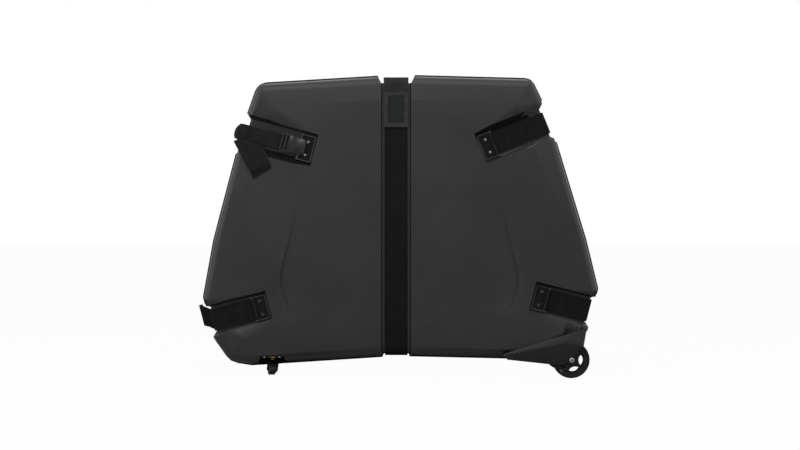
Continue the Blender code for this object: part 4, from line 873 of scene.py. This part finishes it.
hem = shown("cover_flap_hem", bm, strap_webbing, "lid", (), 50)
seam = bmesh.new()
for shift in HEM_SEAMS:
    ends = []
    for near, far in ((HEM[0], HEM[1]), (HEM[3], HEM[2])):
        inset, across = (a + (b - a) * shift for a, b in zip(near, far))
        ends.append(corner_point("top_left", inset, FLAP_FACE + HEM_PROUD, across))
    inner = (ends[1] - ends[0]) * HEM_MARGIN
    stitches(seam, ends[0] + inner, ends[1] - inner)
flap_seam = shown("cover_flap_stitching", seam, thread, "lid")

# Wheel covers. Each lower corner by the wheels is a separate black moulding, screwed on over the
# seam, with a bevel above that faces the light and carries a painted highlight, and a flat cheek that holds
# the axle outside the wheel.

WHEEL = (0.488, 0.131, 0.0523)
BOLT_SOCKET = 0.1555
BEVEL_RISE = 0.12
BEVEL_TURN = (0.3, 0.995)
SOCKET_SHADE_CUP = (
    (0.0, 0.0004), (0.0013, 0.0004), (0.0016, 0.0011), (0.0029, 0.0011), (0.0029, -0.0004), (0.0, -0.0004),
)
# edge=2.2 paints the highlight on the cover's bevel and rounded edges
cover_plastic = plastic(
    "cover_plastic", (0.0078, 0.0078, 0.0079),
    roughness=0.42, cells=1000.0, depth=0.0001, amount=0.4, specular=0.12, edge=2.2,
)
for end, body, side in HALVES:
    bm = merged(f"wheel_cover_{end}")
    soften(bm, 0.0012, math.radians(26), 3)
    scuffed_and_highlit = bm.faces.layers.float["painted_highlight"]
    # Bevel faces tilted up towards the light are marked for the painted highlight
    for bevel in bm.faces:
        if bevel.normal.z > BEVEL_RISE and BEVEL_TURN[0] < abs(bevel.normal.y) < BEVEL_TURN[1]:
            bevel[scuffed_and_highlit] = 1.0
    shown(f"wheel_cover_{end}_moulding", bm, cover_plastic, body, [f"wheel_cover_{end}"], 35)
    bm = merged(f"axle_bolt_{end}")
    soften(bm, 0.0004, math.radians(50))
    shown(f"axle_bolt_{end}_steel", bm, bright_steel, body, [f"axle_bolt_{end}"])
    # Dark cup set in the bolt's hex socket: painted shade for its depth
    bm = bmesh.new()
    foot = (WHEEL[0], side * BOLT_SOCKET, WHEEL[2])
    turned(bm, SOCKET_SHADE_CUP[::-1], foot, (0, side, 0), 6)
    shown(f"axle_bolt_{end}_socket", bm, nylon_moulding, body)

# Wheels. A black nylon wheel with five leaf-shaped windows carries a solid black tyre with a
# fine groove either side of its tread.

TYRE = (
    (0.0418, 0.0102), (0.0445, 0.0115), (0.0480, 0.0119), (0.0505, 0.0112), (0.0516, 0.0096),
    (0.0520, 0.0076), (0.0516, 0.0070), (0.0516, 0.0062), (0.0521, 0.0056), (0.0523, 0.0028),
)
tyre_rubber = plastic(
    "tyre_rubber", (0.0050, 0.0050, 0.0048),
    roughness=0.55, cells=1300.0, depth=0.00008, amount=0.2, specular=0.15,
)
wheel_nylon = plastic(
    "wheel_nylon", (0.0055, 0.0055, 0.0057),
    roughness=0.4, cells=1500.0, depth=0.00006, amount=0.3, specular=0.2,
)
for end, half, side in HALVES:
    body = f"{end}_wheel"
    bm = merged(f"wheel_{end}")
    soften(bm, 0.0006, math.radians(40))
    shown(f"wheel_{end}_web", bm, wheel_nylon, body, [f"wheel_{end}"])
    bm = bmesh.new()
    ring = TYRE + tuple((radius, -place) for radius, place in TYRE[::-1]) + TYRE[:1]
    turned(bm, ring, (WHEEL[0], side * WHEEL[1], WHEEL[2]), (0, 1, 0), 96)
    shown(f"tyre_{end}_tread", bm, tyre_rubber, body, [f"tyre_{end}"])

# Casters. A plated steel plate, a brass-coloured ball race, a pressed fork and a small hard
# wheel on a riveted pin.

CASTER = (-0.362, 0.045)
SCREW_SPREAD = 0.0225
SCREW_SEAT = 0.0554
SCREW = (
    (0.0, 0.0045), (0.0016, 0.0043), (0.0026, 0.0034), (0.0030, 0.0026), (0.0038, 0.0024),
    (0.0040, 0.0003), (0.0040, 0.0), (0.0, 0.0),
)
zinc = metal("zinc_plate", (0.42, 0.42, 0.43), roughness=0.34)
black_zinc = metal("black_zinc", (0.030, 0.030, 0.031), roughness=0.34)
brass = metal("ball_race_brass", (0.52, 0.33, 0.10), roughness=0.24)
screw_zinc = metal("screw_zinc", (0.85, 0.85, 0.86), roughness=0.30)
caster_tread = plastic("caster_tread", (0.050, 0.044, 0.039), roughness=0.42, cells=1500.0, depth=0.00006)
for end, half, side in HALVES:
    swivel, roller = f"{end}_swivel", f"{end}_caster_wheel"
    for node, body, finish, slot, radius in (
        ("plate", half, zinc, "steel", 0.0004), ("race", swivel, brass, "brass", 0.0003),
        ("fork", swivel, black_zinc, "steel", 0.0004), ("pin", swivel, bright_steel, "steel", 0.0002),
        ("wheel", roller, caster_tread, "wheel", 0.0008),
    ):
        bm = merged(f"caster_{node}_{end}")
        soften(bm, radius, math.radians(40))
        shown(f"caster_{node}_{end}_made", bm, finish, body, [f"caster_{node}_{end}"])
    bm = bmesh.new()
    for x in (-SCREW_SPREAD, SCREW_SPREAD):
        for y in (-SCREW_SPREAD, SCREW_SPREAD):
            foot = (CASTER[0] + x, side * CASTER[1] + y, SCREW_SEAT)
            turned(bm, SCREW[::-1], foot, (0, 0, -1), 18)
    shown(f"caster_screws_{end}", bm, screw_zinc, half)

# Studio. A plain pale floor under a white background, a large soft light from above and in
# front, and the camera where the photograph was taken from.

CAMERA = (0.0051, -4.5, 0.4323)
LENS = 69.6


def backdrop():
    """White background for the camera, with a dimmer light from it on the case."""
    world = bpy.data.worlds.new("studio")
    bpy.context.scene.world = world
    world.use_nodes = True
    tree = world.node_tree
    tree.nodes.clear()
    rays = add(tree, "LightPath").outputs
    seen = add(tree, "Math", operation="MAXIMUM", in0=rays["Is Camera Ray"], in1=rays["Is Glossy Ray"])
    seen = add(tree, "Math", operation="MAXIMUM", in0=seen.outputs[0], in1=rays["Is Transmission Ray"])
    white = add(tree, "Background", Color=(1, 1, 1, 1), Strength=1.0)
    dim = add(tree, "Background", Color=(1, 1, 1, 1), Strength=0.38)
    both = add(tree, "MixShader", in0=seen.outputs[0], in1=dim.outputs[0], in2=white.outputs[0])
    add(tree, "OutputWorld", Surface=both.outputs[0])


def pale_floor():
    """Floor of pale paper, which keeps the shadow of the case."""
    bm = bmesh.new()
    bmesh.ops.create_grid(bm, x_segments=1, y_segments=1, size=30)
    mesh = bpy.data.meshes.new("floor")
    bm.to_mesh(mesh)
    bm.free()
    floor = bpy.data.objects.new("floor", mesh)
    bpy.context.scene.collection.objects.link(floor)
    finish, tree, bsdf = shader("floor_paper", Roughness=0.9, Specular_IOR_Level=0.1)
    bsdf.inputs["Base Color"].default_value = (0.5, 0.5, 0.5, 1)
    rays = add(tree, "LightPath").outputs
    seen = add(tree, "Math", operation="MAXIMUM", in0=rays["Is Camera Ray"], in1=rays["Is Transmission Ray"])
    share = add(tree, "Math", operation="MULTIPLY", in0=seen.outputs[0], in1=0.97)
    white = add(tree, "Emission", Color=(1, 1, 1, 1), Strength=1.0)
    both = add(tree, "MixShader", in0=share.outputs[0], in1=bsdf.outputs[0], in2=white.outputs[0])
    tree.links.new(both.outputs[0], tree.nodes["Material Output"].inputs["Surface"])
    mesh.materials.append(finish)


def lamp(name, place, aim, size, power):
    """Soft rectangular light, pointed at a place."""
    light = bpy.data.lights.new(name, "AREA")
    light.shape = "RECTANGLE"
    light.size, light.size_y = size
    light.energy = power
    item = bpy.data.objects.new(name, light)
    item.location = place
    item.visible_camera = False
    item.rotation_euler = (Vector(aim) - Vector(place)).to_track_quat("-Z", "Y").to_euler()
    bpy.context.scene.collection.objects.link(item)


backdrop()
pale_floor()
lamp("top_softbox", (0.0, -1.6, 3.0), (0, 0, 0.5), (3.0, 2.0), 58)
lamp("front_softbox", (-0.7, -2.3, 2.0), (-0.1, 0, 0.6), (2.4, 0.7), 17)
lamp("left_softbox", (-3.0, -1.0, 1.2), (0, 0, 0.4), (1.2, 2.4), 36)
lamp("right_softbox", (3.0, -1.0, 1.2), (0, 0, 0.4), (1.2, 2.4), 20)
camera = bpy.data.objects.new("camera", bpy.data.cameras.new("camera"))
camera.data.lens = LENS
camera.data.sensor_width = 36
camera.location = CAMERA
camera.rotation_euler = (math.radians(90), 0, 0)
bpy.context.scene.collection.objects.link(camera)
bpy.context.scene.camera = camera
bpy.context.scene.view_settings.view_transform = "Standard"
